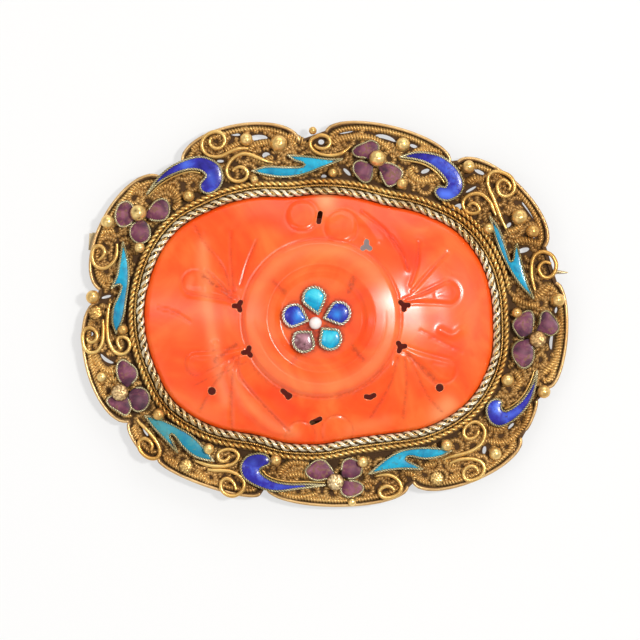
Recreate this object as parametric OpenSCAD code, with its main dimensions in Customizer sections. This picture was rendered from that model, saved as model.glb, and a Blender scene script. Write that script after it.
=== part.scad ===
// Filigree brooch with a carved coral plaque, enamelled leaves and a hinged pin.
// Millimetres. It lies face up: +X is to its right, +Y to its top, and z = 0 is the lowest metal.

/* [Coral] */
// Height of the coral's crown
crown_z = 7.4; // [7.2:0.1:8]
// Height of the coral's upper edge
edge_z = 3.6; // [3.4:0.1:3.8]
// Depth of the carved ring's relief
relief = 0.35; // [0.1:0.05:0.5]
// Height of the flat hollow that holds the small flower
basin_z = 6.6; // [6.4:0.1:6.8]

/* [Border] */
// Height of the border's underside
back_z = 1.6; // [1.5:0.05:1.6]
// Thickness of the pierced ground
ground_t = 0.45; // [0.3:0.05:0.45]
// Height of the coiled strips on the ground
coil_h = 0.42; // [0.3:0.02:0.42]
// Width of the outer rim wire
rim_w = 0.32; // [0.25:0.01:0.35]
// Thickness of the enamelled cells
cell_t = 0.55; // [0.4:0.05:0.7]
// Radius of the scroll wire
scroll_r = 0.2; // [0.12:0.01:0.2]

/* [Ropes] */
// Radius of the silver braid
braid_r = 0.44; // [0.35:0.01:0.45]
// Radius of the gold rope
rope_r = 0.3; // [0.2:0.01:0.3]

/* [Pin] */
// Radius of the stem
stem_r = 0.42; // [0.38:0.01:0.42]
// Radius of the stem where the hook holds it
neck_r = 0.3; // [0.25:0.01:0.3]
// Radius of the rivet
rivet_r = 0.3; // [0.26:0.01:0.3]
// Radial clearance of the knuckle on the rivet
rivet_gap = 0.04; // [0.03:0.01:0.06]

/* [Hidden] */
// Gap between neighbouring pieces
gap = 0.04;
// Height of the seat, of the rim and of the coiled strips' tops
seat_z = back_z + ground_t + gap + coil_h;
// Height on which the ornaments lie
deck_z = seat_z + gap;
// Height of the top of an enamelled cell's edge wire, above its enamel
cell_edge_h = 0.12;
cell_top_z = deck_z + cell_t + cell_edge_h;

// The coral's middle, and its radius at every 15 degrees from +X, anticlockwise
coral_middle = [-0.42, -0.54];
CORAL_RADII = [
    20.6, 20.4, 19.5, 17.5, 15.6, 15.0, 14.8, 15.0, 16.6, 18.4, 20.3, 21.0,
    21.2, 20.8, 20.2, 18.3, 16.1, 15.5, 15.1, 14.9, 16.0, 18.3, 20.2, 20.9
];
radii_step = 15;
coral_steps = 72;
rope_steps = 90;
// Distances from the coral's edge outward, or inward below zero
seat_inner = -2.8;
braid_out = 0.48;
collar_in = 0.08;
collar_out = 0.86;
collar_h = 0.6;
rope_out = 1.62;
seat_out = 2.05;
second_rope_out = 2.3;
second_rope_from = 9;
second_rope_to = 41;

// Lobes of the rim, clockwise, each half an oval: start x, start y, end x, end y, bulge
LOBES = [
    [-17.2, 18.3, -2.9, 20.85, 3.2],
    [0.1, 21.95, 15.2, 18.3, 2.45],
    [16, 18.4, 26.6, 8, 3.1],
    [27.9, 3.8, 27, -9, 1.75],
    [25.6, -10.4, 24.2, -14.1, 0.3],
    [23.7, -15, 10.6, -20.4, 2.6],
    [10.1, -20.9, -7.1, -20.9, 2.3],
    [-7.7, -21.8, -20.1, -17.5, 1.2],
    [-20.4, -17.6, -23.6, -13.1, 0.85],
    [-23.6, -13.1, -27.4, 1.5, 3.25],
    [-27.1, 2.8, -19.9, 16.6, 3.6]
];
lobe_points = 11;

// Through gaps in the ground: middle x, middle y, half length, half width, angle, bend
GAPS = [
    [-7.9, 21.1, 1.08, 0.36, 0, 0],
    [-7.0, 19.0, 0.48, 0.36, 0, 0],
    [-10.7, 21.5, 0.60, 0.16, -5, 0],
    [-12.5, 18.3, 0.42, 0.16, 0, 0],
    [-9.5, 15.6, 0.36, 0.17, 15, 0],
    [-0.1, 16.5, 0.36, 0.18, 0, 0],
    [2.7, 17.0, 0.60, 0.20, -45, 0],
    [2.3, 21.9, 1.40, 0.16, 6, -0.12],
    [7.3, 21.0, 1.32, 0.24, -16, 0.2],
    [10.7, 20.1, 0.48, 0.20, -20, 0],
    [12.1, 17.1, 0.54, 0.24, 20, 0],
    [15.9, 12.7, 0.72, 0.36, 35, 0],
    [18.6, 17.0, 0.66, 0.22, -25, 0],
    [17.6, 14.9, 0.72, 0.14, 30, 0],
    [24.5, 12.3, 1.32, 0.26, -53, 0.2],
    [22.1, 10.6, 0.42, 0.20, 45, 0],
    [25.1, 9.2, 0.30, 0.16, 60, 0],
    [23.9, 7.6, 0.72, 0.28, 15, 0],
    [27.8, 0.4, 0.36, 0.14, 80, 0],
    [27.3, -3.4, 0.96, 0.18, 85, 0.1],
    [22.4, -13.5, 0.48, 0.16, 45, 0],
    [19.2, -16.4, 0.48, 0.22, 80, 0],
    [-26.2, 2.0, 0.60, 0.16, 15, 0],
    [-26.1, -5.4, 0.96, 0.20, -35, -0.2],
    [-24.9, 11.5, 0.30, 0.14, 90, 0],
    [-21.5, -14.2, 0.60, 0.16, -60, 0],
    [-0.4, 20.6, 0.36, 0.30, 0, 0],
    [-28.1, -2.5, 0.34, 0.31, 0, 0]
];
gap_steps = 5;
// Gaps behind the cells, seen only from the back: places along a leaf, and across it to its middle
LEAF_GAPS = [[0.2, -0.03], [0.37, -0.055], [0.56, -0.03], [0.74, -0.025]];
COMMA_GAPS = [2, 3, 4, 5];
cell_gap_l = 0.6;
cell_gap_w = 0.28;

// Coiled strips: the points that each one runs through
strip_w = 0.9;
rim_strip_w = 0.6;
STRIPS = [
    [[-23.7, 13.9], [-23.0, 15.0], [-21.6, 16.1], [-20.0, 16.6]],
    [[-20.6, 14.7], [-19.0, 15.3], [-17.9, 14.5], [-17.5, 13.1], [-18.3, 12.5]],
    [[-17.2, 18.6], [-15.9, 19.8], [-14.5, 20.7]],
    [[-12.0, 19.5], [-10.8, 20.1], [-10.0, 20.5]],
    [[-9.1, 19.4], [-8.5, 20.2], [-6.9, 20.5], [-5.7, 20.3]],
    [[-4.4, 21.5], [-3.2, 21.1], [-2.2, 20.3]],
    [[-8.3, 19.0], [-7.5, 18.2], [-6.1, 18.8]],
    [[-27.7, 9.2], [-26.7, 9.8], [-25.1, 9.9]],
    [[-27.2, 5.1], [-26.5, 4.1], [-25.7, 3.9], [-26.1, 2.8]],
    [[0.8, 20.4], [2.1, 21.0], [3.9, 21.2], [5.7, 21.0], [7.2, 20.2], [7.8, 19.6]],
    [[10.5, 19.3], [12.1, 19.6], [13.7, 19.4], [15.3, 18.4]],
    [[17.0, 15.7], [18.0, 16.2], [19.2, 16.0]],
    [[10.2, 17.6], [10.5, 16.6], [11.3, 16.0], [13.0, 16.0], [14.0, 16.4]],
    [[21.7, 9.8], [22.7, 10.0], [23.7, 10.6]],
    [[22.7, 8.6], [24.1, 8.8], [25.6, 8.4], [26.2, 8.0]],
    [[24.9, 1.9], [26.0, 2.3], [27.2, 3.5]],
    [[22.5, 1.9], [24.1, 1.2], [25.8, 0.8]],
    [[27.8, -0.5], [28.2, -1.8], [28.1, -3.7], [27.6, -5.7], [26.1, -7.3]],
    [[22.9, -6.9], [23.5, -8.2], [22.9, -9.2]],
    [[24.7, -10.8], [24.3, -12.9], [22.9, -14.7], [21.3, -15.5], [19.7, -15.3]],
    [[19.6, -13.6], [21.0, -13.9], [22.0, -13.1]],
    [[14.1, -16.9], [14.7, -17.8], [15.9, -18.4]],
    [[14.9, -19.8], [16.5, -19.4]],
    [[9.6, -19.0], [10.8, -19.4], [10.4, -20.2]],
    [[11.9, -18.2], [13.5, -18.0]],
    [[-5.6, -21.3], [-4.2, -21.9], [-2.7, -22.0], [-0.9, -21.6]],
    [[4.7, -20.8], [5.7, -20.6]],
    [[-5.6, -19.4], [-4.6, -18.2], [-3.3, -17.8], [-1.7, -18.2]],
    [[-4.6, -19.5], [-3.1, -19.3], [-1.7, -19.7]],
    [[-15.4, -18.6], [-14.8, -19.5], [-13.7, -20.5], [-12.9, -21.2]],
    [[-19.9, -17.2], [-18.3, -17.6], [-17.5, -18.2]],
    [[-23.2, -13.1], [-22.8, -14.4], [-22.5, -15.2]],
    [[-27.7, -4.6], [-27.3, -5.8], [-26.3, -6.9], [-25.0, -7.0]],
    [[-26.4, -8.4], [-25.6, -7.9], [-24.8, -8.1]]
];

// Leaves: outline from the tip by the scroll pair to the other tip, then back past the prong and its notch
LEAVES = [
    [[-8.7, 17.1], [-7.0, 16.65], [-4.85, 16.4], [-2.6, 16.7], [-0.3, 17.55], [2.2, 18.55], [0.65, 18.5],
        [-1.75, 18.8], [-4.4, 19.0], [-3.55, 18.4], [-2.7, 18.15], [-2.4, 17.8], [-3.05, 17.55],
        [-5.0, 17.55], [-7.0, 17.6]],
    [[19.85, 11.65], [20.35, 9.8], [21.1, 7.6], [22.25, 5.3], [23.6, 3.35], [25.15, 1.75], [24.25, 3.85],
        [23.65, 6.05], [23.1, 8.4], [22.8, 7.4], [22.7, 6.6], [22.4, 6.25], [22.1, 6.7], [21.55, 8.45],
        [20.9, 10.15]],
    [[15.2, -16.45], [13.5, -16.2], [11.35, -16.15], [9.2, -16.5], [7.25, -17.6], [5.35, -19.25],
        [7.4, -18.8], [9.4, -18.6], [11.8, -18.7], [10.75, -18.1], [10.0, -17.75], [9.75, -17.4],
        [10.3, -17.1], [12.05, -17.4], [14.0, -17.1]],
    [[-13.3, -17.7], [-14.4, -16.25], [-15.85, -14.75], [-17.5, -13.75], [-19.5, -12.8], [-21.55, -12.25],
        [-20.6, -13.55], [-19.15, -15.1], [-17.6, -16.75], [-18.15, -15.55], [-18.55, -14.8],
        [-18.4, -14.45], [-17.9, -14.75], [-16.85, -16.1], [-15.3, -17.25]],
    [[-25.0, -2.4], [-24.2, -0.55], [-23.8, 1.85], [-23.5, 4.25], [-23.65, 6.55], [-24.2, 8.6],
        [-24.55, 6.3], [-24.9, 4.5], [-25.6, 3.0], [-25.1, 3.35], [-24.6, 3.5], [-24.35, 3.2],
        [-24.65, 2.2], [-25.3, 0.8], [-25.45, -1.0]]
];
leaf_corners = [0, 5, 8];

// Commas: outline from the thin end along the inner side, round the rolled head and back
COMMAS = [
    [[-21.35, 14.3], [-20.1, 15.55], [-18.65, 16.5], [-17.2, 17.1], [-15.9, 17.35], [-14.8, 17.15],
        [-14.2, 16.5], [-14.9, 15.55], [-14.7, 14.7], [-13.75, 14.45], [-12.6, 15.2], [-12.25, 16.5],
        [-12.9, 18.0], [-14.95, 18.8], [-17.6, 18.05], [-19.75, 16.5]],
    [[9.1, 18.8], [10.5, 18.6], [11.95, 18.25], [13.2, 17.55], [14.1, 16.7], [14.7, 15.8], [14.5, 15.15],
        [13.8, 15.25], [13.25, 14.65], [13.8, 13.8], [14.9, 13.6], [16.15, 14.25], [16.65, 15.55],
        [15.85, 17.4], [13.85, 18.9], [11.2, 19.35]],
    [[25.5, -6.85], [25.1, -8.1], [24.5, -9.35], [23.65, -10.5], [22.6, -11.35], [21.65, -11.75],
        [21.2, -11.3], [21.2, -10.5], [20.45, -10.3], [19.7, -10.8], [19.45, -11.8], [20.0, -13.1],
        [21.25, -13.5], [23.0, -12.55], [24.5, -10.85], [25.3, -8.8]],
    [[0.1, -20.6], [-2.0, -20.5], [-4.0, -20.5], [-5.7, -20.25], [-7.0, -19.7], [-7.8, -18.9],
        [-7.4, -18.4], [-6.6, -18.0], [-6.8, -17.15], [-7.8, -16.8], [-9.2, -17.1], [-10.0, -18.2],
        [-9.7, -19.65], [-8.1, -20.7], [-5.95, -21.3], [-3.2, -21.0]]
];

// Rim flowers: bead middle, flower middle, then the outlines of three petals
FLOWERS = [
    [[-22.3, 12.05], [-22.0, 11.6],
        [[-23.0, 12.9], [-23.7, 13.45], [-24.55, 13.15], [-25.0, 12.3], [-25.1, 11.35], [-24.55, 10.5],
            [-23.6, 10.55], [-22.85, 11.2]],
        [[-21.05, 11.35], [-20.1, 11.15], [-19.15, 11.3], [-18.65, 12.1], [-18.7, 13.15], [-19.4, 13.75],
            [-20.35, 13.4], [-21.05, 12.55]],
        [[-22.6, 11.0], [-23.2, 10.4], [-23.3, 9.4], [-22.75, 8.65], [-21.9, 8.45], [-21.1, 8.95],
            [-20.95, 9.9], [-21.3, 10.85]]],
    [[6.35, 18.6], [6.05, 17.95],
        [[6.3, 19.25], [6.5, 20.15], [5.7, 20.75], [4.75, 20.45], [3.8, 20.05], [3.35, 19.45],
            [3.85, 18.85], [4.85, 18.7]],
        [[5.1, 18.1], [4.25, 18.35], [3.55, 17.95], [3.5, 17.1], [4.1, 16.25], [4.8, 15.75], [5.5, 16.0],
            [5.8, 17.0]],
        [[6.6, 17.2], [7.0, 16.15], [7.6, 15.3], [8.45, 15.5], [9.1, 16.2], [9.35, 17.0], [8.6, 17.7],
            [7.5, 18.1]]],
    [[25.6, -3.1], [25.0, -2.6],
        [[25.0, -1.75], [25.1, -0.65], [24.8, 0.25], [24.0, 0.2], [23.0, -0.6], [22.6, -1.45],
            [23.05, -2.35], [23.7, -2.9]],
        [[26.3, -2.4], [27.2, -2.65], [27.95, -2.15], [28.1, -1.4], [27.5, -0.35], [26.75, 0.3],
            [26.05, 0.0], [25.8, -1.15]],
        [[24.2, -3.1], [23.2, -3.35], [22.6, -4.1], [22.6, -5.1], [23.15, -6.05], [23.95, -6.55],
            [24.85, -5.95], [25.15, -4.75], [24.95, -3.65]]],
    [[1.3, -20.2], [1.85, -19.85],
        [[0.8, -18.55], [-0.05, -17.65], [-1.0, -17.65], [-1.9, -18.3], [-2.3, -18.95], [-1.75, -19.7],
            [-0.8, -20.0], [0.4, -19.8]],
        [[2.45, -19.7], [3.4, -19.8], [4.3, -19.3], [4.45, -18.4], [3.9, -17.7], [3.05, -17.4],
            [2.3, -17.75], [2.05, -18.65]],
        [[2.0, -20.7], [2.05, -21.5], [2.8, -22.0], [3.8, -21.8], [4.55, -21.3], [4.6, -20.65],
            [3.85, -20.15], [2.8, -20.05]]],
    [[-24.55, -9.5], [-23.7, -9.3],
        [[-23.1, -8.4], [-22.5, -7.6], [-22.6, -6.7], [-23.3, -6.05], [-24.2, -5.55], [-24.85, -6.1],
            [-24.9, -7.15], [-24.55, -8.1]],
        [[-23.5, -10.4], [-23.15, -11.3], [-22.4, -11.75], [-21.55, -11.45], [-21.05, -10.6],
            [-21.1, -9.65], [-21.85, -8.95], [-22.85, -9.0]],
        [[-24.55, -9.9], [-25.5, -9.85], [-26.1, -10.4], [-25.75, -11.1], [-24.85, -11.65],
            [-23.9, -12.2], [-23.3, -11.6], [-23.35, -10.6]]]
];
flower_middle_r = 0.6;
bead_r = 1.0;

// Scrolls: the points of the wire, from inside the eye to the free end
SCROLLS = [
    [[-13.55, 21.1], [-13.8, 20.6], [-13.5, 20.05], [-12.9, 19.8], [-12.3, 20.05], [-11.95, 20.7],
        [-12.1, 21.4], [-12.8, 21.8], [-13.6, 21.7], [-14.35, 21.2], [-14.7, 20.4], [-14.55, 19.6],
        [-14.0, 19.0], [-13.25, 18.8], [-12.4, 18.9], [-11.6, 19.3], [-10.6, 19.7], [-9.8, 19.85],
        [-9.1, 19.8]],
    [[-11.0, 17.05], [-10.75, 17.4], [-10.15, 17.6], [-9.55, 17.4], [-9.2, 16.85], [-9.4, 16.25],
        [-10.0, 15.9], [-10.75, 15.9], [-11.4, 16.3], [-11.75, 17.0], [-11.6, 17.75], [-11.1, 18.5],
        [-10.4, 19.0], [-9.55, 19.2], [-8.7, 19.0], [-7.85, 18.65], [-7.0, 18.3], [-6.2, 18.1]],
    [[-1.2, 20.3], [-0.8, 19.9], [-0.05, 19.8], [0.55, 20.15], [0.7, 20.7], [0.35, 21.2], [-0.4, 21.4],
        [-1.1, 21.2], [-1.6, 20.8], [-1.7, 20.3], [-1.45, 19.75], [-0.8, 19.25], [0.05, 19.0],
        [1.0, 18.95], [2.0, 19.2], [2.7, 19.7], [3.1, 20.05]],
    [[22.15, 14.8], [22.3, 15.3], [22.0, 15.8], [21.5, 16.05], [20.95, 15.8], [20.75, 15.2],
        [20.95, 14.5], [21.5, 14.1], [22.15, 14.15], [22.7, 14.65], [22.8, 15.4], [22.5, 16.2],
        [21.9, 16.7], [21.05, 17.0], [20.3, 17.0], [19.75, 16.6], [19.6, 15.85], [19.8, 14.95],
        [20.3, 13.85], [20.75, 12.65], [21.2, 11.45], [21.6, 10.6], [21.85, 10.1]],
    [[17.2, 12.9], [17.65, 13.25], [18.2, 13.15], [18.6, 12.6], [18.5, 12.25], [17.95, 12.0],
        [17.3, 12.1], [16.85, 12.5], [16.6, 13.1], [16.8, 13.75], [17.35, 14.2], [18.1, 14.4],
        [18.9, 14.3], [19.55, 13.8], [20.0, 13.2], [20.25, 12.55], [20.6, 11.75]],
    [[27.2, 5.95], [26.6, 6.2], [26.0, 5.95], [25.75, 5.35], [26.0, 4.7], [26.6, 4.3], [27.3, 4.55],
        [27.7, 5.2], [27.8, 6.0], [27.4, 6.85], [26.75, 7.3], [26.0, 7.4], [25.3, 7.0], [24.95, 6.3],
        [24.85, 5.35], [24.9, 4.4], [25.1, 3.4], [25.3, 2.7]],
    [[18.5, -14.0], [18.4, -14.45], [17.95, -14.9], [17.3, -15.05], [16.8, -14.65], [16.75, -14.0],
        [17.15, -13.4], [17.95, -13.0], [18.7, -13.2], [19.2, -13.85], [19.25, -14.65], [18.9, -15.55],
        [18.1, -16.25], [17.1, -16.7], [16.0, -17.0], [15.05, -17.2], [14.35, -17.5]],
    [[18.5, -19.0], [18.2, -18.5], [17.6, -18.3], [17.0, -18.55], [16.7, -19.15], [16.85, -19.75],
        [17.4, -20.05], [18.1, -19.9], [18.8, -19.5], [19.2, -18.7], [19.0, -18.0], [18.4, -17.6],
        [17.45, -17.45], [16.5, -17.5], [15.65, -17.7], [15.05, -18.0]],
    [[8.4, -21.3], [8.15, -20.9], [7.55, -20.7], [6.9, -20.95], [6.6, -21.4], [6.9, -21.95],
        [7.5, -22.15], [8.2, -22.0], [8.9, -21.6], [9.25, -20.95], [9.05, -20.3], [8.6, -19.75],
        [7.85, -19.4], [7.0, -19.35], [6.2, -19.5]],
    [[-11.4, -17.05], [-11.65, -17.5], [-12.2, -17.75], [-12.7, -17.4], [-12.75, -16.8], [-12.3, -16.45],
        [-11.6, -16.3], [-10.85, -16.4], [-10.35, -16.9], [-10.4, -17.5], [-11.0, -18.05], [-11.8, -18.3],
        [-12.9, -18.35], [-13.85, -18.2], [-14.7, -17.95], [-15.55, -17.65]],
    [[-10.6, -21.2], [-10.8, -20.5], [-11.2, -20.0], [-11.8, -19.8], [-12.3, -20.1], [-12.45, -20.7],
        [-12.25, -21.3], [-11.7, -21.75], [-11.0, -21.9], [-10.25, -21.6], [-9.7, -21.0], [-9.65, -20.2],
        [-10.1, -19.55], [-10.75, -19.15], [-11.6, -18.9], [-12.55, -18.85], [-13.4, -18.8],
        [-14.05, -18.7]],
    [[-20.8, -16.45], [-20.65, -15.9], [-21.0, -15.3], [-21.6, -15.0], [-22.15, -15.25], [-22.3, -15.8],
        [-22.1, -16.45], [-21.55, -17.05], [-20.8, -17.4], [-20.1, -17.3], [-19.75, -16.7],
        [-19.9, -15.9], [-20.35, -15.1], [-20.95, -14.35], [-21.55, -13.7], [-22.1, -13.2], [-22.5, -12.7]],
    [[-28.5, -2.9], [-28.35, -3.3], [-27.9, -3.45], [-27.4, -3.1], [-27.3, -2.5], [-27.6, -1.95],
        [-28.2, -1.7], [-28.75, -1.95], [-29.0, -2.5], [-29.0, -3.3], [-28.8, -4.1], [-28.25, -4.65],
        [-27.55, -4.65], [-27.0, -4.2], [-26.65, -3.4], [-26.55, -2.45], [-26.55, -1.5], [-26.6, -0.7]],
    [[-24.35, -4.25], [-24.7, -3.85], [-24.85, -3.25], [-24.6, -2.8], [-24.05, -2.8], [-23.5, -3.2],
        [-23.35, -3.9], [-23.65, -4.55], [-24.3, -4.9], [-25.0, -4.7], [-25.6, -4.0], [-25.95, -3.05],
        [-26.05, -2.0], [-26.05, -0.8], [-25.95, 0.3], [-25.75, 1.25]],
    [[-27.2, 6.35], [-26.65, 6.8], [-26.35, 7.4], [-26.6, 7.9], [-27.1, 8.15], [-27.65, 7.85],
        [-27.85, 7.25], [-27.85, 6.55], [-27.5, 5.8], [-26.75, 5.4], [-26.0, 5.6], [-25.3, 6.2],
        [-24.95, 6.95], [-24.9, 7.75], [-24.9, 8.4]]
];
wire_sides = 5;

// Shot: middle x, middle y, radius, and whether it sits on the rope and cells (1) or the ground (0)
SHOT = [
    [-26.0, 11.0, 0.84, 0], [-16.3, 14.1, 0.72, 0], [-22.2, 7.9, 0.64, 1], [-9.4, 20.9, 0.78, 0],
    [-5.5, 20.4, 1.02, 0], [-8.4, 16.1, 0.48, 1], [-1.4, 21.95, 0.48, 0], [1.0, 16.9, 0.60, 0],
    [9.4, 20.3, 0.85, 0], [9.3, 15.6, 0.66, 1], [17.3, 17.6, 0.78, 0], [19.7, 10.2, 0.66, 1],
    [23.4, 11.6, 0.98, 0], [25.0, 9.9, 0.80, 0], [28.0, 1.6, 0.84, 0], [23.1, 0.1, 0.62, 1],
    [22.0, -8.0, 0.80, 0], [26.3, -9.4, 0.80, 0], [20.5, -16.8, 0.78, 0], [14.7, -15.8, 0.72, 1],
    [4.6, -17.8, 0.68, 1], [3.3, -22.62, 0.50, 0], [-5.8, -17.6, 0.66, 1], [-13.9, -16.2, 0.66, 1],
    [-19.9, -12.1, 0.72, 1], [-26.7, -7.6, 0.66, 0], [-24.2, -1.9, 0.60, 1], [-27.8, 2.0, 0.84, 0]
];
shot_sink = 0.5;
// Flat granulated discs: middle x, middle y
DISCS = [[13.5, -19.8], [-16.6, -18.3], [-27.5, 0.1]];
disc_r = 0.85;
disc_h = 0.5;

// Petals of the small flower: middle of the cell, and the tip by the pearl
CENTRE_PETALS = [
    [[-1.2, 1.7], [-0.8, 0.1]],
    [[1.6, 0.0], [0.1, -0.5]],
    [[0.6, -2.9], [-0.2, -1.9]],
    [[-2.4, -3.2], [-1.7, -2.3]],
    [[-3.5, -0.3], [-2.1, -0.8]]
];
centre_petal_r = 1.3;
pearl_middle = [-1.1, -1.15];
pearl_r = 0.72;

// Holes in the coral: middle x, middle y, then the angle of each arm
HOLES = [
    [-10.3, 0.9, [60, 180, 290]],
    [-9.2, -4.6, [70, 190, 310]],
    [-4.6, -9.6, [140, 330, 300]],
    [9.1, -4.0, [120, 10, 250]],
    [9.5, 1.0, [140, 0, 270]],
    [5.0, 8.1, [85, 215, 325]],
    [5.5, -10.1, [35, 165, 165]],
    [-0.6, 11.5, [80, 260, 260]],
    [-1.0, -12.9, [30, 200, 200]],
    [-13.5, -9.3, []],
    [13.8, -8.9, []]
];
hole_arm = 0.52;
hole_arm_r = 0.31;
hole_r = 0.48;

// The pin's line: the rivet's place, and the stem's angle seen from above
rivet_at = [-27.7, 8.6];
stem_angle = -3.7;
pin_z = 0.7;
knuckle_r = 0.58;
knuckle_w = 1.0;
ear_gap = 0.06;
ear_t = 0.45;
ear_w = 1.2;
plate_z = 1.36;
plate_l = 2.6;
rivet_head = 0.12;
root_r = 0.46;
shank_start = 12.5;
shank_end = 41;
neck_start = 52;
neck_end = 54.8;
point_end = 57.08;
shoulder_end = 55.7;
shoulder_r = 0.26;
point_r = 0.08;
hook_at = 53.6;
hook_w = 1.2;
hook_r = 0.7;
hook_bore_r = 0.44;
hook_mouth = 0.84;
hook_neck_w = 0.8;

function numbered(name, count) = [for (i = [1:count]) str(name, "_", i)];

function unit(v) = v / norm(v);
function turned(v) = [-v[1], v[0]];
function wrap(i, n) = (i % n + n) % n;
function bearing(v) = atan2(v[1], v[0]);

// A curve through four neighbours, between the middle two
function through(a, b, c, d, t) = 0.5 * (2 * b + (c - a) * t + (2 * a - 5 * b + 4 * c - d) * t * t
    + (3 * b - a - 3 * c + d) * t * t * t);
function smooth(points, steps) = let (last = len(points) - 1) [
    for (i = [0:last - 1], k = [0:steps - 1])
        through(points[max(i - 1, 0)], points[i], points[i + 1], points[min(i + 2, last)], k / steps),
    points[last]
];
function heading(path, i, closed) = let (n = len(path)) closed
    ? unit(path[wrap(i + 1, n)] - path[wrap(i - 1, n)])
    : unit(path[min(i + 1, n - 1)] - path[max(i - 1, 0)]);
function coral_radius(a) = let (
    s = a / radii_step,
    i = floor(s),
    n = len(CORAL_RADII)
) through(CORAL_RADII[wrap(i - 1, n)], CORAL_RADII[wrap(i, n)], CORAL_RADII[wrap(i + 1, n)],
    CORAL_RADII[wrap(i + 2, n)], s - i);
function coral_edge(a) = coral_middle + coral_radius(a) * [cos(a), sin(a)];
function round_coral(d, a) = let (t = unit(coral_edge(a + 2) - coral_edge(a - 2)))
    coral_edge(a) - d * turned(t);
function coral_ring(d, steps) = [for (i = [0:steps - 1]) round_coral(d, 360 * i / steps)];

// Half an oval that bulges to the left of its chord
function half_oval(a, b, bulge, count) = let (out = turned(unit(b - a))) [
    for (i = [0:count - 1])
        let (t = 180 * i / (count - 1)) (a + b) / 2 - cos(t) * (b - a) / 2 + sin(t) * bulge * out
];
// The rim's outline, moved in by a distance
function rim(d) = [
    for (lobe = LOBES)
        let (a = [lobe[0], lobe[1]], b = [lobe[2], lobe[3]], along = unit(b - a), out = turned(along))
            each half_oval(a + d * (along - out), b - d * (along + out), lobe[4], lobe_points)
];

module sweep(path, r, z, sides, closed = false) {
    n = len(path);
    points = [
        for (i = [0:n - 1], j = [0:sides - 1])
            let (side = turned(heading(path, i, closed)), a = 360 * j / sides)
                [each path[i] + r * cos(a) * side, z + r * sin(a)]
    ];
    skin = [
        for (i = [0:(closed ? n : n - 1) - 1], j = [0:sides - 1])
            let (
                a = i * sides + j,
                b = i * sides + (j + 1) % sides,
                c = ((i + 1) % n) * sides + (j + 1) % sides,
                d = ((i + 1) % n) * sides + j
            ) each [[a, d, c], [a, c, b]]
    ];
    caps = closed ? [] : [
        [for (j = [0:sides - 1]) j],
        [for (j = [sides - 1:-1:0]) (n - 1) * sides + j]
    ];
    polyhedron(points, concat(skin, caps));
}

// Carved surface of the coral at a distance and a share of the radius
function between(x, a, b) = let (t = min(1, max(0, (x - a) / (b - a)))) t * t * (3 - 2 * t);
carved_ring = [6.2, 9.3];
basin_r = 4.8;
function carved(r, f) = let (
    dome = edge_z + (crown_z - edge_z) * (1 - f * f),
    ring = between(r, carved_ring[0] - 0.5, carved_ring[0] + 0.3) * (1 - between(r, carved_ring[1] - 0.4,
        carved_ring[1] + 0.2))
) dome + relief * ring + (basin_z - dome) * (1 - between(r, basin_r, carved_ring[0] - 0.3));

coral_base_z = deck_z;
hollow_share = 0.85;
hollow_z = 4.95;
function hollow(f) = coral_base_z + (hollow_z - coral_base_z) * max(0, 1 - pow(f / hollow_share, 2));
INNER_RINGS = [2.5, 4.8, 5.3, 5.8, 6.3, 7.0, 7.9, 8.8, 9.3, 9.7];
OUTER_SHARES = [0.2, 0.42, 0.62, 0.8, 0.92];
UNDER_SHARES = [1, hollow_share, 0.6, 0.3];

function coral_radii_at(a) = concat(
    INNER_RINGS,
    [for (t = OUTER_SHARES) let (r = INNER_RINGS[len(INNER_RINGS) - 1]) r + t * (coral_radius(a) - r)]
);

module coral_body() {
    tops = len(INNER_RINGS) + len(OUTER_SHARES);
    rings = tops + 1 + len(UNDER_SHARES);
    angles = [for (i = [0:coral_steps - 1]) 360 * i / coral_steps];
    function at(a, r, z) = [each coral_middle + r * [cos(a), sin(a)], z];
    points = concat(
        [for (k = [0:tops - 1], a = angles)
            let (r = coral_radii_at(a)[k]) at(a, r, carved(r, r / coral_radius(a)))],
        [for (a = angles) at(a, coral_radius(a), edge_z - 0.2)],
        [for (f = UNDER_SHARES, a = angles) at(a, f * coral_radius(a), hollow(f))],
        [at(0, 0, basin_z), at(0, 0, hollow(0))]
    );
    n = coral_steps;
    top = rings * n;
    skin = [
        for (k = [0:rings - 2], i = [0:n - 1])
            let (a = k * n + i, b = k * n + (i + 1) % n, c = a + n, d = b + n)
                each [[a, b, d], [a, d, c]]
    ];
    ends = [
        for (i = [0:n - 1]) each [
            [top, (i + 1) % n, i],
            [top + 1, (rings - 1) * n + i, (rings - 1) * n + (i + 1) % n]
        ]
    ];
    polyhedron(points, concat(skin, ends));
}

module coral_hole(hole) {
    translate([hole[0], hole[1], 0]) linear_extrude(crown_z + 2) {
        if (len(hole[2]) == 0) circle(hole_r, $fn = 12);
        for (a = hole[2]) hull() {
            circle(hole_arm_r, $fn = 8);
            translate(hole_arm * [cos(a), sin(a)]) circle(hole_arm_r, $fn = 8);
        }
    }
}

module coral_plaque() {
    color("coral") difference() {
        coral_body();
        for (hole = HOLES) coral_hole(hole);
    }
}

module ring_wall(outer, inner, from, to) {
    translate([0, 0, from]) linear_extrude(to - from) difference() {
        polygon(outer);
        polygon(inner);
    }
}

module lens(row) {
    // A pointed oval gap, bent sideways in its middle
    function edge(side) = [
        for (k = [-gap_steps:gap_steps])
            let (t = k / gap_steps) [row[2] * t, row[5] * (1 - t * t) + side * row[3] * sqrt(1 - t * t)]
    ];
    lower = edge(-1);
    upper = edge(1);
    translate([row[0], row[1]]) rotate(row[4])
        polygon(concat(lower, [for (k = [len(upper) - 2:-1:1]) upper[k]]));
}

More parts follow.
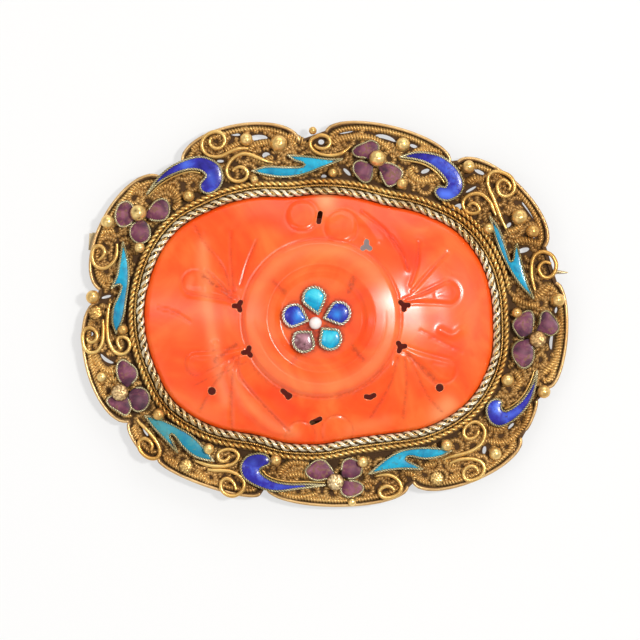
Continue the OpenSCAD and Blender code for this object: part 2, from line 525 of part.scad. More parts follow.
function mean(points) = let (ones = [for (p = points) 1]) ones * points / len(points);
function cell_gap(place, along) = [place[0], place[1], cell_gap_l, cell_gap_w, bearing(along), 0];
cell_gaps = concat(
    [for (points = LEAVES, g = LEAF_GAPS) let (along = points[leaf_corners[1]] - points[0])
        cell_gap(points[0] + g[0] * along + g[1] * turned(along), along)],
    [for (points = COMMAS, i = COMMA_GAPS)
        cell_gap((points[i] + points[len(points) - i]) / 2, points[i + 1] - points[i - 1])],
    [for (row = FLOWERS, k = [2:4]) cell_gap(mean(row[k]), mean(row[k]) - row[1])]
);

module filigree_border() {
    seat_edge = coral_ring(seat_out, rope_steps);
    seat_hole = coral_ring(seat_inner, rope_steps);
    color("goldenrod") union() {
        translate([0, 0, back_z]) linear_extrude(ground_t) difference() {
            polygon(rim(rim_w / 2));
            polygon(coral_ring(seat_out - 0.5, rope_steps));
            for (row = concat(GAPS, cell_gaps)) lens(row);
        }
        ring_wall(rim(0), rim(rim_w), back_z, seat_z);
        ring_wall(seat_edge, seat_hole, back_z, seat_z);
        ring_wall(coral_ring(collar_out, rope_steps), coral_ring(collar_in, rope_steps), back_z,
            seat_z + collar_h);
    }
}

module strip(points) {
    path = smooth(points, 2);
    for (i = [0:len(path) - 2]) hull() {
        translate(path[i]) circle(strip_w / 2, $fn = 8);
        translate(path[i + 1]) circle(strip_w / 2, $fn = 8);
    }
}

module ground_coils() {
    // The dark strip inside the rim wire is joined to the coiled strips that touch it
    outside = rim(rim_w + gap);
    color("peru") translate([0, 0, back_z + ground_t + gap]) linear_extrude(coil_h) difference() {
        union() {
            difference() {
                polygon(outside);
                polygon(rim(rim_w + gap + rim_strip_w));
            }
            intersection() {
                for (points = STRIPS) strip(points);
                polygon(outside);
            }
        }
        polygon(coral_ring(seat_out + gap, rope_steps));
    }
}

module silver_braid() {
    color("lightgray") sweep(coral_ring(braid_out, rope_steps), braid_r, seat_z + collar_h + gap + braid_r, 8,
        true);
}

module gold_rope() {
    color("gold") sweep(coral_ring(rope_out, rope_steps), rope_r, deck_z + rope_r, 8, true);
}

module outer_rope() {
    steps = 14;
    path = [
        for (i = [0:steps])
            round_coral(second_rope_out, second_rope_from + (second_rope_to - second_rope_from) * i / steps)
    ];
    color("gold") sweep(path, rope_r * 0.9, deck_z + rope_r * 0.9, 8);
}

// A closed outline that is smooth but for its corners, given by their places in the list
function loop(points, corners, steps) = let (n = len(points), last = len(corners) - 1) [
    for (k = [0:last])
        let (
            end = k < last ? corners[k + 1] : corners[0] + n,
            run = smooth([for (i = [corners[k]:end]) points[i % n]], steps)
        ) for (i = [0:len(run) - 2]) run[i]
];
cell_steps = 2;

module cell(color_name, outline) {
    color(color_name) translate([0, 0, deck_z]) linear_extrude(cell_t + cell_edge_h) polygon(outline);
}

module leaf(points) {
    cell("deepskyblue", loop(points, leaf_corners, cell_steps));
}

module comma(points) {
    cell("royalblue", loop(points, [0], cell_steps));
}

module rim_flower(row) {
    middle = row[1];
    color("rebeccapurple") translate([0, 0, deck_z]) linear_extrude(cell_t + cell_edge_h) {
        translate(middle) circle(flower_middle_r, $fn = 12);
        for (k = [2:4]) polygon(concat([middle], row[k]));
    }
}

module grain(x, y, r, floor_z) {
    // A grain of shot, flattened where it is soldered down
    centre_z = floor_z + shot_sink * r;
    intersection() {
        translate([x, y, centre_z]) sphere(r, $fn = 32);
        translate([x - 2 * r, y - 2 * r, floor_z]) cube([4 * r, 4 * r, 3 * r]);
    }
}

module flower_bead(row) {
    color("gold") grain(row[0][0], row[0][1], bead_r, cell_top_z + gap);
}

module scroll(points) {
    color("gold") sweep(smooth(points, 2), scroll_r, deck_z + scroll_r, wire_sides);
}

module gold_shot() {
    color("gold") {
        for (row = SHOT) grain(row[0], row[1], row[2], row[3] == 1 ? cell_top_z + gap : deck_z);
        for (place = DISCS) translate([each place, deck_z]) cylinder(disc_h, r = disc_r, $fn = 32);
    }
}

module centre_petal(row) {
    out = bearing(row[0] - row[1]);
    outline = concat([row[1]], [
        for (a = [-120:30:120]) row[0] + centre_petal_r * [cos(out + a), sin(out + a)]
    ]);
    color("turquoise") translate([0, 0, basin_z + gap]) linear_extrude(cell_t + cell_edge_h) polygon(outline);
}

module centre_pearl() {
    color("mistyrose") grain(pearl_middle[0], pearl_middle[1], pearl_r, basin_z + gap);
}

module on_pin_line(x) {
    translate([each rivet_at, pin_z]) rotate([0, 0, stem_angle]) translate([x, 0, 0]) children();
}

module across_pin(r, w) {
    rotate([90, 0, 0]) cylinder(w, r = r, center = true, $fn = 48);
}

module along_pin(from, to, r1, r2) {
    translate([from, 0, 0]) rotate([0, 90, 0]) cylinder(to - from, r1 = r1, r2 = r2, $fn = 48);
}

module pin_hinge() {
    inside = knuckle_w / 2 + ear_gap;
    width = 2 * (inside + ear_t);
    top = back_z - gap / 2 - pin_z;
    color("darkgoldenrod") on_pin_line(0) {
        translate([-ear_w / 2, -width / 2, plate_z - pin_z]) cube([plate_l, width, top - plate_z + pin_z]);
        for (side = [-1, 1]) translate([-ear_w / 2, side * (inside + ear_t / 2) - ear_t / 2, -pin_z])
            cube([ear_w, ear_t, plate_z]);
        across_pin(rivet_r, width + 2 * rivet_head);
    }
}

module pin_stem() {
    color("tan") on_pin_line(0) difference() {
        union() {
            across_pin(knuckle_r, knuckle_w);
            along_pin(0, shank_start, root_r, stem_r);
            along_pin(shank_start, shank_end, stem_r, stem_r);
            along_pin(shank_end, neck_start, stem_r, neck_r);
            along_pin(neck_start, neck_end, neck_r, neck_r);
            along_pin(neck_end, shoulder_end, neck_r, shoulder_r);
            along_pin(shoulder_end, point_end, shoulder_r, point_r);
        }
        across_pin(rivet_r + rivet_gap, knuckle_w + 1);
    }
}

module pin_catch() {
    color("darkgoldenrod") on_pin_line(hook_at) difference() {
        union() {
            along_pin(-hook_w / 2, hook_w / 2, hook_r, hook_r);
            translate([-hook_w / 2, -hook_neck_w / 2, 0])
                cube([hook_w, hook_neck_w, back_z - gap / 2 - pin_z]);
        }
        along_pin(-hook_w, hook_w, hook_bore_r, hook_bore_r);
        translate([-hook_w, -hook_mouth / 2, -2 * hook_r]) cube([2 * hook_w, hook_mouth, 2 * hook_r]);
    }
}

coral_plaque();
filigree_border();
ground_coils();
silver_braid();
gold_rope();
outer_rope();
for (i = [1:len(LEAVES)]) leaf(LEAVES[i - 1]);
for (i = [1:len(COMMAS)]) comma(COMMAS[i - 1]);
for (i = [1:len(FLOWERS)]) rim_flower(FLOWERS[i - 1]);
for (i = [1:len(FLOWERS)]) flower_bead(FLOWERS[i - 1]);
for (i = [1:len(SCROLLS)]) scroll(SCROLLS[i - 1]);
gold_shot();
for (i = [1:len(CENTRE_PETALS)])
    centre_petal(CENTRE_PETALS[i - 1]);
centre_pearl();
pin_hinge();
pin_stem();
pin_catch();
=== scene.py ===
import bmesh
import bpy
import math
import numpy as np
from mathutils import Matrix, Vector
from mathutils.geometry import delaunay_2d_cdt


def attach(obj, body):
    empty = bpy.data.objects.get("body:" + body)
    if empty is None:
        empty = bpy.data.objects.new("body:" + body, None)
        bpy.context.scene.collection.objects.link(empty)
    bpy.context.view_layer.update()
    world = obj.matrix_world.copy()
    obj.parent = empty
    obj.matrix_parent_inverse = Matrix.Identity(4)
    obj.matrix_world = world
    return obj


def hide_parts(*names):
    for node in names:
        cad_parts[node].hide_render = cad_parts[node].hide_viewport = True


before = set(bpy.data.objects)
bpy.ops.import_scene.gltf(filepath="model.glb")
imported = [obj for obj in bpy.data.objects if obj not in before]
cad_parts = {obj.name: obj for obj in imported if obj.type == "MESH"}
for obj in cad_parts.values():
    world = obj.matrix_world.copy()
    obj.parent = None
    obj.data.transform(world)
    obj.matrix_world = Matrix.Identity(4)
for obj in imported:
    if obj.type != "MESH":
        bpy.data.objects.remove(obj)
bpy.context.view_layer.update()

MM = 0.001
rng = np.random.default_rng(11)


def pairs(*values):
    """Points, given by their x and y in turn."""
    return np.reshape(np.array(values, dtype=float), (-1, 2))


# Lengths are in millimetres, but for those of the lights and the floor. The heights are the solids' own.
BACK_Z, GROUND_T, GAP, COIL_H = 1.6, 0.45, 0.04, 0.42
GROUND_Z = BACK_Z + GROUND_T
SEAT_Z = GROUND_Z + GAP + COIL_H
DECK_Z = SEAT_Z + GAP
CELL_T, CELL_EDGE_H = 0.55, 0.12
CELL_TOP_Z = DECK_Z + CELL_T + CELL_EDGE_H
# How far the enamel and its edge wire lie under the top of a cell
CELL_SINK = 0.1
CROWN_Z, EDGE_Z, BASIN_Z, RELIEF, HOLLOW_Z, HOLLOW_SHARE = 7.4, 3.6, 6.6, 0.35, 4.95, 0.85
CENTRE_Z = BASIN_Z + GAP
RIM_W, COLLAR_H, SCROLL_R = 0.32, 0.6, 0.2

# The coral: its middle, and its radius at every 15 degrees
CORAL_MIDDLE = [-0.42, -0.54]
CORAL_RADII = [
    20.6, 20.4, 19.5, 17.5, 15.6, 15, 14.8, 15, 16.6, 18.4, 20.3, 21, 21.2, 20.8, 20.2, 18.3, 16.1, 15.5,
    15.1, 14.9, 16, 18.3, 20.2, 20.9
]
# Lobes of the outline: start x and y, end x and y, bulge
LOBES = [
    [-17.2, 18.3, -2.9, 20.85, 3.2], [0.1, 21.95, 15.2, 18.3, 2.45], [16, 18.4, 26.6, 8, 3.1],
    [27.9, 3.8, 27, -9, 1.75], [25.6, -10.4, 24.2, -14.1, 0.3], [23.7, -15, 10.6, -20.4, 2.6],
    [10.1, -20.9, -7.1, -20.9, 2.3], [-7.7, -21.8, -20.1, -17.5, 1.2], [-20.4, -17.6, -23.6, -13.1, 0.85],
    [-23.6, -13.1, -27.4, 1.5, 3.25], [-27.1, 2.8, -19.9, 16.6, 3.6]
]
# Pierced openings: middle x and y, half length, half width, turn in degrees, bend
GAPS = [
    [-7.9, 21.1, 1.08, 0.36, 0, 0], [-7, 19, 0.48, 0.36, 0, 0], [-10.7, 21.5, 0.6, 0.16, -5, 0],
    [-12.5, 18.3, 0.42, 0.16, 0, 0], [-9.5, 15.6, 0.36, 0.17, 15, 0], [-0.1, 16.5, 0.36, 0.18, 0, 0],
    [2.7, 17, 0.6, 0.2, -45, 0], [2.3, 21.9, 1.4, 0.16, 6, -0.12], [7.3, 21, 1.32, 0.24, -16, 0.2],
    [10.7, 20.1, 0.48, 0.2, -20, 0], [12.1, 17.1, 0.54, 0.24, 20, 0], [15.9, 12.7, 0.72, 0.36, 35, 0],
    [18.6, 17, 0.66, 0.22, -25, 0], [17.6, 14.9, 0.72, 0.14, 30, 0], [24.5, 12.3, 1.32, 0.26, -53, 0.2],
    [22.1, 10.6, 0.42, 0.2, 45, 0], [25.1, 9.2, 0.3, 0.16, 60, 0], [23.9, 7.6, 0.72, 0.28, 15, 0],
    [27.8, 0.4, 0.36, 0.14, 80, 0], [27.3, -3.4, 0.96, 0.18, 85, 0.1], [22.4, -13.5, 0.48, 0.16, 45, 0],
    [19.2, -16.4, 0.48, 0.22, 80, 0], [-26.2, 2, 0.6, 0.16, 15, 0], [-26.1, -5.4, 0.96, 0.2, -35, -0.2],
    [-24.9, 11.5, 0.3, 0.14, 90, 0], [-21.5, -14.2, 0.6, 0.16, -60, 0], [-0.4, 20.6, 0.36, 0.3, 0, 0],
    [-28.1, -2.5, 0.34, 0.31, 0, 0]
]
# Middle lines of the coiled strips on the ground
STRIPS = [
    pairs(-23.7, 13.9, -23, 15, -21.6, 16.1, -20, 16.6),
    pairs(-20.6, 14.7, -19, 15.3, -17.9, 14.5, -17.5, 13.1, -18.3, 12.5),
    pairs(-17.2, 18.6, -15.9, 19.8, -14.5, 20.7),
    pairs(-12, 19.5, -10.8, 20.1, -10, 20.5),
    pairs(-9.1, 19.4, -8.5, 20.2, -6.9, 20.5, -5.7, 20.3),
    pairs(-4.4, 21.5, -3.2, 21.1, -2.2, 20.3),
    pairs(-8.3, 19, -7.5, 18.2, -6.1, 18.8),
    pairs(-27.7, 9.2, -26.7, 9.8, -25.1, 9.9),
    pairs(-27.2, 5.1, -26.5, 4.1, -25.7, 3.9, -26.1, 2.8),
    pairs(0.8, 20.4, 2.1, 21, 3.9, 21.2, 5.7, 21, 7.2, 20.2, 7.8, 19.6),
    pairs(10.5, 19.3, 12.1, 19.6, 13.7, 19.4, 15.3, 18.4),
    pairs(17, 15.7, 18, 16.2, 19.2, 16),
    pairs(10.2, 17.6, 10.5, 16.6, 11.3, 16, 13, 16, 14, 16.4),
    pairs(21.7, 9.8, 22.7, 10, 23.7, 10.6),
    pairs(22.7, 8.6, 24.1, 8.8, 25.6, 8.4, 26.2, 8),
    pairs(24.9, 1.9, 26, 2.3, 27.2, 3.5),
    pairs(22.5, 1.9, 24.1, 1.2, 25.8, 0.8),
    pairs(27.8, -0.5, 28.2, -1.8, 28.1, -3.7, 27.6, -5.7, 26.1, -7.3),
    pairs(22.9, -6.9, 23.5, -8.2, 22.9, -9.2),
    pairs(24.7, -10.8, 24.3, -12.9, 22.9, -14.7, 21.3, -15.5, 19.7, -15.3),
    pairs(19.6, -13.6, 21, -13.9, 22, -13.1),
    pairs(14.1, -16.9, 14.7, -17.8, 15.9, -18.4),
    pairs(14.9, -19.8, 16.5, -19.4),
    pairs(9.6, -19, 10.8, -19.4, 10.4, -20.2),
    pairs(11.9, -18.2, 13.5, -18),
    pairs(-5.6, -21.3, -4.2, -21.9, -2.7, -22, -0.9, -21.6),
    pairs(4.7, -20.8, 5.7, -20.6),
    pairs(-5.6, -19.4, -4.6, -18.2, -3.3, -17.8, -1.7, -18.2),
    pairs(-4.6, -19.5, -3.1, -19.3, -1.7, -19.7),
    pairs(-15.4, -18.6, -14.8, -19.5, -13.7, -20.5, -12.9, -21.2),
    pairs(-19.9, -17.2, -18.3, -17.6, -17.5, -18.2),
    pairs(-23.2, -13.1, -22.8, -14.4, -22.5, -15.2),
    pairs(-27.7, -4.6, -27.3, -5.8, -26.3, -6.9, -25, -7),
    pairs(-26.4, -8.4, -25.6, -7.9, -24.8, -8.1)
]
# Outlines of the leaves and of the commas
LEAVES = [
    pairs(-8.7, 17.1, -7, 16.65, -4.85, 16.4, -2.6, 16.7, -0.3, 17.55, 2.2, 18.55, 0.65, 18.5, -1.75, 18.8,
        -4.4, 19, -3.55, 18.4, -2.7, 18.15, -2.4, 17.8, -3.05, 17.55, -5, 17.55, -7, 17.6),
    pairs(19.85, 11.65, 20.35, 9.8, 21.1, 7.6, 22.25, 5.3, 23.6, 3.35, 25.15, 1.75, 24.25, 3.85, 23.65,
        6.05, 23.1, 8.4, 22.8, 7.4, 22.7, 6.6, 22.4, 6.25, 22.1, 6.7, 21.55, 8.45, 20.9, 10.15),
    pairs(15.2, -16.45, 13.5, -16.2, 11.35, -16.15, 9.2, -16.5, 7.25, -17.6, 5.35, -19.25, 7.4, -18.8, 9.4,
        -18.6, 11.8, -18.7, 10.75, -18.1, 10, -17.75, 9.75, -17.4, 10.3, -17.1, 12.05, -17.4, 14, -17.1),
    pairs(-13.3, -17.7, -14.4, -16.25, -15.85, -14.75, -17.5, -13.75, -19.5, -12.8, -21.55, -12.25, -20.6,
        -13.55, -19.15, -15.1, -17.6, -16.75, -18.15, -15.55, -18.55, -14.8, -18.4, -14.45, -17.9, -14.75,
        -16.85, -16.1, -15.3, -17.25),
    pairs(-25, -2.4, -24.2, -0.55, -23.8, 1.85, -23.5, 4.25, -23.65, 6.55, -24.2, 8.6, -24.55, 6.3, -24.9,
        4.5, -25.6, 3, -25.1, 3.35, -24.6, 3.5, -24.35, 3.2, -24.65, 2.2, -25.3, 0.8, -25.45, -1)
]
COMMAS = [
    pairs(-21.35, 14.3, -20.1, 15.55, -18.65, 16.5, -17.2, 17.1, -15.9, 17.35, -14.8, 17.15, -14.2, 16.5,
        -14.9, 15.55, -14.7, 14.7, -13.75, 14.45, -12.6, 15.2, -12.25, 16.5, -12.9, 18, -14.95, 18.8, -17.6,
        18.05, -19.75, 16.5),
    pairs(9.1, 18.8, 10.5, 18.6, 11.95, 18.25, 13.2, 17.55, 14.1, 16.7, 14.7, 15.8, 14.5, 15.15, 13.8,
        15.25, 13.25, 14.65, 13.8, 13.8, 14.9, 13.6, 16.15, 14.25, 16.65, 15.55, 15.85, 17.4, 13.85, 18.9,
        11.2, 19.35),
    pairs(25.5, -6.85, 25.1, -8.1, 24.5, -9.35, 23.65, -10.5, 22.6, -11.35, 21.65, -11.75, 21.2, -11.3,
        21.2, -10.5, 20.45, -10.3, 19.7, -10.8, 19.45, -11.8, 20, -13.1, 21.25, -13.5, 23, -12.55, 24.5,
        -10.85, 25.3, -8.8),
    pairs(0.1, -20.6, -2, -20.5, -4, -20.5, -5.7, -20.25, -7, -19.7, -7.8, -18.9, -7.4, -18.4, -6.6, -18,
        -6.8, -17.15, -7.8, -16.8, -9.2, -17.1, -10, -18.2, -9.7, -19.65, -8.1, -20.7, -5.95, -21.3, -3.2,
        -21)
]
# Rim flowers: the bead's middle and the petals' meeting point, then the outlines of three petals
FLOWERS = [
    [pairs(-22.3, 12.05, -22, 11.6), pairs(-23, 12.9, -23.7, 13.45, -24.55, 13.15, -25, 12.3, -25.1, 11.35,
        -24.55, 10.5, -23.6, 10.55, -22.85, 11.2), pairs(-21.05, 11.35, -20.1, 11.15, -19.15, 11.3, -18.65,
        12.1, -18.7, 13.15, -19.4, 13.75, -20.35, 13.4, -21.05, 12.55), pairs(-22.6, 11, -23.2, 10.4, -23.3,
        9.4, -22.75, 8.65, -21.9, 8.45, -21.1, 8.95, -20.95, 9.9, -21.3, 10.85)],
    [pairs(6.35, 18.6, 6.05, 17.95), pairs(6.3, 19.25, 6.5, 20.15, 5.7, 20.75, 4.75, 20.45, 3.8, 20.05,
        3.35, 19.45, 3.85, 18.85, 4.85, 18.7), pairs(5.1, 18.1, 4.25, 18.35, 3.55, 17.95, 3.5, 17.1, 4.1,
        16.25, 4.8, 15.75, 5.5, 16, 5.8, 17), pairs(6.6, 17.2, 7, 16.15, 7.6, 15.3, 8.45, 15.5, 9.1, 16.2,
        9.35, 17, 8.6, 17.7, 7.5, 18.1)],
    [pairs(25.6, -3.1, 25, -2.6), pairs(25, -1.75, 25.1, -0.65, 24.8, 0.25, 24, 0.2, 23, -0.6, 22.6, -1.45,
        23.05, -2.35, 23.7, -2.9), pairs(26.3, -2.4, 27.2, -2.65, 27.95, -2.15, 28.1, -1.4, 27.5, -0.35,
        26.75, 0.3, 26.05, 0, 25.8, -1.15), pairs(24.2, -3.1, 23.2, -3.35, 22.6, -4.1, 22.6, -5.1, 23.15,
        -6.05, 23.95, -6.55, 24.85, -5.95, 25.15, -4.75, 24.95, -3.65)],
    [pairs(1.3, -20.2, 1.85, -19.85), pairs(0.8, -18.55, -0.05, -17.65, -1, -17.65, -1.9, -18.3, -2.3,
        -18.95, -1.75, -19.7, -0.8, -20, 0.4, -19.8), pairs(2.45, -19.7, 3.4, -19.8, 4.3, -19.3, 4.45,
        -18.4, 3.9, -17.7, 3.05, -17.4, 2.3, -17.75, 2.05, -18.65), pairs(2, -20.7, 2.05, -21.5, 2.8, -22,
        3.8, -21.8, 4.55, -21.3, 4.6, -20.65, 3.85, -20.15, 2.8, -20.05)],
    [pairs(-24.55, -9.5, -23.7, -9.3), pairs(-23.1, -8.4, -22.5, -7.6, -22.6, -6.7, -23.3, -6.05, -24.2,
        -5.55, -24.85, -6.1, -24.9, -7.15, -24.55, -8.1), pairs(-23.5, -10.4, -23.15, -11.3, -22.4, -11.75,
        -21.55, -11.45, -21.05, -10.6, -21.1, -9.65, -21.85, -8.95, -22.85, -9), pairs(-24.55, -9.9, -25.5,
        -9.85, -26.1, -10.4, -25.75, -11.1, -24.85, -11.65, -23.9, -12.2, -23.3, -11.6, -23.35, -10.6)]
]
# Middle lines of the wire scrolls, from the eye outwards
SCROLLS = [
    pairs(-13.55, 21.1, -13.8, 20.6, -13.5, 20.05, -12.9, 19.8, -12.3, 20.05, -11.95, 20.7, -12.1, 21.4,
        -12.8, 21.8, -13.6, 21.7, -14.35, 21.2, -14.7, 20.4, -14.55, 19.6, -14, 19, -13.25, 18.8, -12.4,
        18.9, -11.6, 19.3, -10.6, 19.7, -9.8, 19.85, -9.1, 19.8),
    pairs(-11, 17.05, -10.75, 17.4, -10.15, 17.6, -9.55, 17.4, -9.2, 16.85, -9.4, 16.25, -10, 15.9, -10.75,
        15.9, -11.4, 16.3, -11.75, 17, -11.6, 17.75, -11.1, 18.5, -10.4, 19, -9.55, 19.2, -8.7, 19, -7.85,
        18.65, -7, 18.3, -6.2, 18.1),
    pairs(-1.2, 20.3, -0.8, 19.9, -0.05, 19.8, 0.55, 20.15, 0.7, 20.7, 0.35, 21.2, -0.4, 21.4, -1.1, 21.2,
        -1.6, 20.8, -1.7, 20.3, -1.45, 19.75, -0.8, 19.25, 0.05, 19, 1, 18.95, 2, 19.2, 2.7, 19.7, 3.1,
        20.05),
    pairs(22.15, 14.8, 22.3, 15.3, 22, 15.8, 21.5, 16.05, 20.95, 15.8, 20.75, 15.2, 20.95, 14.5, 21.5, 14.1,
        22.15, 14.15, 22.7, 14.65, 22.8, 15.4, 22.5, 16.2, 21.9, 16.7, 21.05, 17, 20.3, 17, 19.75, 16.6,
        19.6, 15.85, 19.8, 14.95, 20.3, 13.85, 20.75, 12.65, 21.2, 11.45, 21.6, 10.6, 21.85, 10.1),
    pairs(17.2, 12.9, 17.65, 13.25, 18.2, 13.15, 18.6, 12.6, 18.5, 12.25, 17.95, 12, 17.3, 12.1, 16.85,
        12.5, 16.6, 13.1, 16.8, 13.75, 17.35, 14.2, 18.1, 14.4, 18.9, 14.3, 19.55, 13.8, 20, 13.2, 20.25,
        12.55, 20.6, 11.75),
    pairs(27.2, 5.95, 26.6, 6.2, 26, 5.95, 25.75, 5.35, 26, 4.7, 26.6, 4.3, 27.3, 4.55, 27.7, 5.2, 27.8, 6,
        27.4, 6.85, 26.75, 7.3, 26, 7.4, 25.3, 7, 24.95, 6.3, 24.85, 5.35, 24.9, 4.4, 25.1, 3.4, 25.3, 2.7),
    pairs(18.5, -14, 18.4, -14.45, 17.95, -14.9, 17.3, -15.05, 16.8, -14.65, 16.75, -14, 17.15, -13.4,
        17.95, -13, 18.7, -13.2, 19.2, -13.85, 19.25, -14.65, 18.9, -15.55, 18.1, -16.25, 17.1, -16.7, 16,
        -17, 15.05, -17.2, 14.35, -17.5),
    pairs(18.5, -19, 18.2, -18.5, 17.6, -18.3, 17, -18.55, 16.7, -19.15, 16.85, -19.75, 17.4, -20.05, 18.1,
        -19.9, 18.8, -19.5, 19.2, -18.7, 19, -18, 18.4, -17.6, 17.45, -17.45, 16.5, -17.5, 15.65, -17.7,
        15.05, -18),
    pairs(8.4, -21.3, 8.15, -20.9, 7.55, -20.7, 6.9, -20.95, 6.6, -21.4, 6.9, -21.95, 7.5, -22.15, 8.2, -22,
        8.9, -21.6, 9.25, -20.95, 9.05, -20.3, 8.6, -19.75, 7.85, -19.4, 7, -19.35, 6.2, -19.5),
    pairs(-11.4, -17.05, -11.65, -17.5, -12.2, -17.75, -12.7, -17.4, -12.75, -16.8, -12.3, -16.45, -11.6,
        -16.3, -10.85, -16.4, -10.35, -16.9, -10.4, -17.5, -11, -18.05, -11.8, -18.3, -12.9, -18.35, -13.85,
        -18.2, -14.7, -17.95, -15.55, -17.65),
    pairs(-10.6, -21.2, -10.8, -20.5, -11.2, -20, -11.8, -19.8, -12.3, -20.1, -12.45, -20.7, -12.25, -21.3,
        -11.7, -21.75, -11, -21.9, -10.25, -21.6, -9.7, -21, -9.65, -20.2, -10.1, -19.55, -10.75, -19.15,
        -11.6, -18.9, -12.55, -18.85, -13.4, -18.8, -14.05, -18.7),
    pairs(-20.8, -16.45, -20.65, -15.9, -21, -15.3, -21.6, -15, -22.15, -15.25, -22.3, -15.8, -22.1, -16.45,
        -21.55, -17.05, -20.8, -17.4, -20.1, -17.3, -19.75, -16.7, -19.9, -15.9, -20.35, -15.1, -20.95,
        -14.35, -21.55, -13.7, -22.1, -13.2, -22.5, -12.7),
    pairs(-28.5, -2.9, -28.35, -3.3, -27.9, -3.45, -27.4, -3.1, -27.3, -2.5, -27.6, -1.95, -28.2, -1.7,
        -28.75, -1.95, -29, -2.5, -29, -3.3, -28.8, -4.1, -28.25, -4.65, -27.55, -4.65, -27, -4.2, -26.65,
        -3.4, -26.55, -2.45, -26.55, -1.5, -26.6, -0.7),
    pairs(-24.35, -4.25, -24.7, -3.85, -24.85, -3.25, -24.6, -2.8, -24.05, -2.8, -23.5, -3.2, -23.35, -3.9,
        -23.65, -4.55, -24.3, -4.9, -25, -4.7, -25.6, -4, -25.95, -3.05, -26.05, -2, -26.05, -0.8, -25.95,
        0.3, -25.75, 1.25),
    pairs(-27.2, 6.35, -26.65, 6.8, -26.35, 7.4, -26.6, 7.9, -27.1, 8.15, -27.65, 7.85, -27.85, 7.25,
        -27.85, 6.55, -27.5, 5.8, -26.75, 5.4, -26, 5.6, -25.3, 6.2, -24.95, 6.95, -24.9, 7.75, -24.9, 8.4)
]
# Shot: x, y, radius, and 1 where it sits on a cell
SHOT = [
    [-26, 11, 0.84, 0], [-16.3, 14.1, 0.72, 0], [-22.2, 7.9, 0.64, 1], [-9.4, 20.9, 0.78, 0],
    [-5.5, 20.4, 1.02, 0], [-8.4, 16.1, 0.48, 1], [-1.4, 21.95, 0.48, 0], [1, 16.9, 0.6, 0],
    [9.4, 20.3, 0.85, 0], [9.3, 15.6, 0.66, 1], [17.3, 17.6, 0.78, 0], [19.7, 10.2, 0.66, 1],
    [23.4, 11.6, 0.98, 0], [25, 9.9, 0.8, 0], [28, 1.6, 0.84, 0], [23.1, 0.1, 0.62, 1], [22, -8, 0.8, 0],
    [26.3, -9.4, 0.8, 0], [20.5, -16.8, 0.78, 0], [14.7, -15.8, 0.72, 1], [4.6, -17.8, 0.68, 1],
    [3.3, -22.62, 0.5, 0], [-5.8, -17.6, 0.66, 1], [-13.9, -16.2, 0.66, 1], [-19.9, -12.1, 0.72, 1],
    [-26.7, -7.6, 0.66, 0], [-24.2, -1.9, 0.6, 1], [-27.8, 2, 0.84, 0]
]
# Flat granulated discs: their middles
DISCS = pairs(13.5, -19.8, -16.6, -18.3, -27.5, 0.1)
# Petals on the coral: middle and tip
CENTRE_PETALS = [
    pairs(-1.2, 1.7, -0.8, 0.1), pairs(1.6, 0, 0.1, -0.5), pairs(0.6, -2.9, -0.2, -1.9),
    pairs(-2.4, -3.2, -1.7, -2.3), pairs(-3.5, -0.3, -2.1, -0.8)
]
# Holes of the coral: x, y and the directions of their arms in degrees. One without arms is round.
HOLES = [
    [-10.3, 0.9, [60, 180, 290]], [-9.2, -4.6, [70, 190, 310]], [-4.6, -9.6, [140, 330, 300]],
    [9.1, -4, [120, 10, 250]], [9.5, 1, [140, 0, 270]], [5, 8.1, [85, 215, 325]],
    [5.5, -10.1, [35, 165, 165]], [-0.6, 11.5, [80, 260, 260]], [-1, -12.9, [30, 200, 200]],
    [-13.5, -9.3, []], [13.8, -8.9, []]
]
STRIP_W = 0.9
# Points of a leaf that stay sharp
LEAF_CORNERS = [0, 5, 8]
CENTRE_PETAL_R = 1.3
PEARL_MIDDLE = [-1.1, -1.15]
PEARL_R = 0.76
DISC_R, BEAD_R = 0.87, 1.0
HOLE_ARM, HOLE_ARM_R, HOLE_R = 0.52, 0.31, 0.48

# Radii of the medallion: the slopes of its basin, and of its ring inside and outside
BASIN_SLOPE, RING_INNER, RING_OUTER = (4.8, 5.9), (5.7, 6.5), (8.9, 9.5)
# Carving of the coral: lines cut in, raised folds, cracks
GROOVES = [
    pairs(-11.2, 2, -12, 5.2, -14.5, 8.6, -15.6, 10.6), pairs(-10.9, 2.6, -11.2, 6.7, -11.2, 9.8),
    pairs(-10, 3.4, -9.2, 6.2, -8.1, 8.8), pairs(-11.6, 2.6, -12.9, 3.9, -14.2, 5.2),
    pairs(10, 5.3, 8.8, 7.6, 7.4, 9.8, 5.7, 11.3, 4.5, 12.2), pairs(9.8, 5.5, 9.3, 7.3, 8, 9.2),
    pairs(10.3, 3.4, 11.1, 5.7, 11.3, 8.5), pairs(10.5, 2.6, 12.3, 4.7, 14.7, 7.3),
    pairs(-10.3, -5.3, -10.1, -7.6, -7.2, -11.1, -4.3, -14.1),
    pairs(-10.6, -5.8, -11.1, -7.7, -11.2, -11.1, -11.1, -14.1),
    pairs(-10.9, -5.3, -12.1, -7, -13.4, -8.8, -15, -11.7),
    pairs(8.8, -5.3, 8.4, -6.7, 7.6, -9, 5.5, -12.5), pairs(9.6, -5.5, 9.8, -8.2, 9.4, -12.5),
    pairs(10.1, -5.1, 12.3, -7.5, 13.5, -8.5), pairs(10.5, -6.1, 12.3, -9.8, 14.1, -11.8)
]
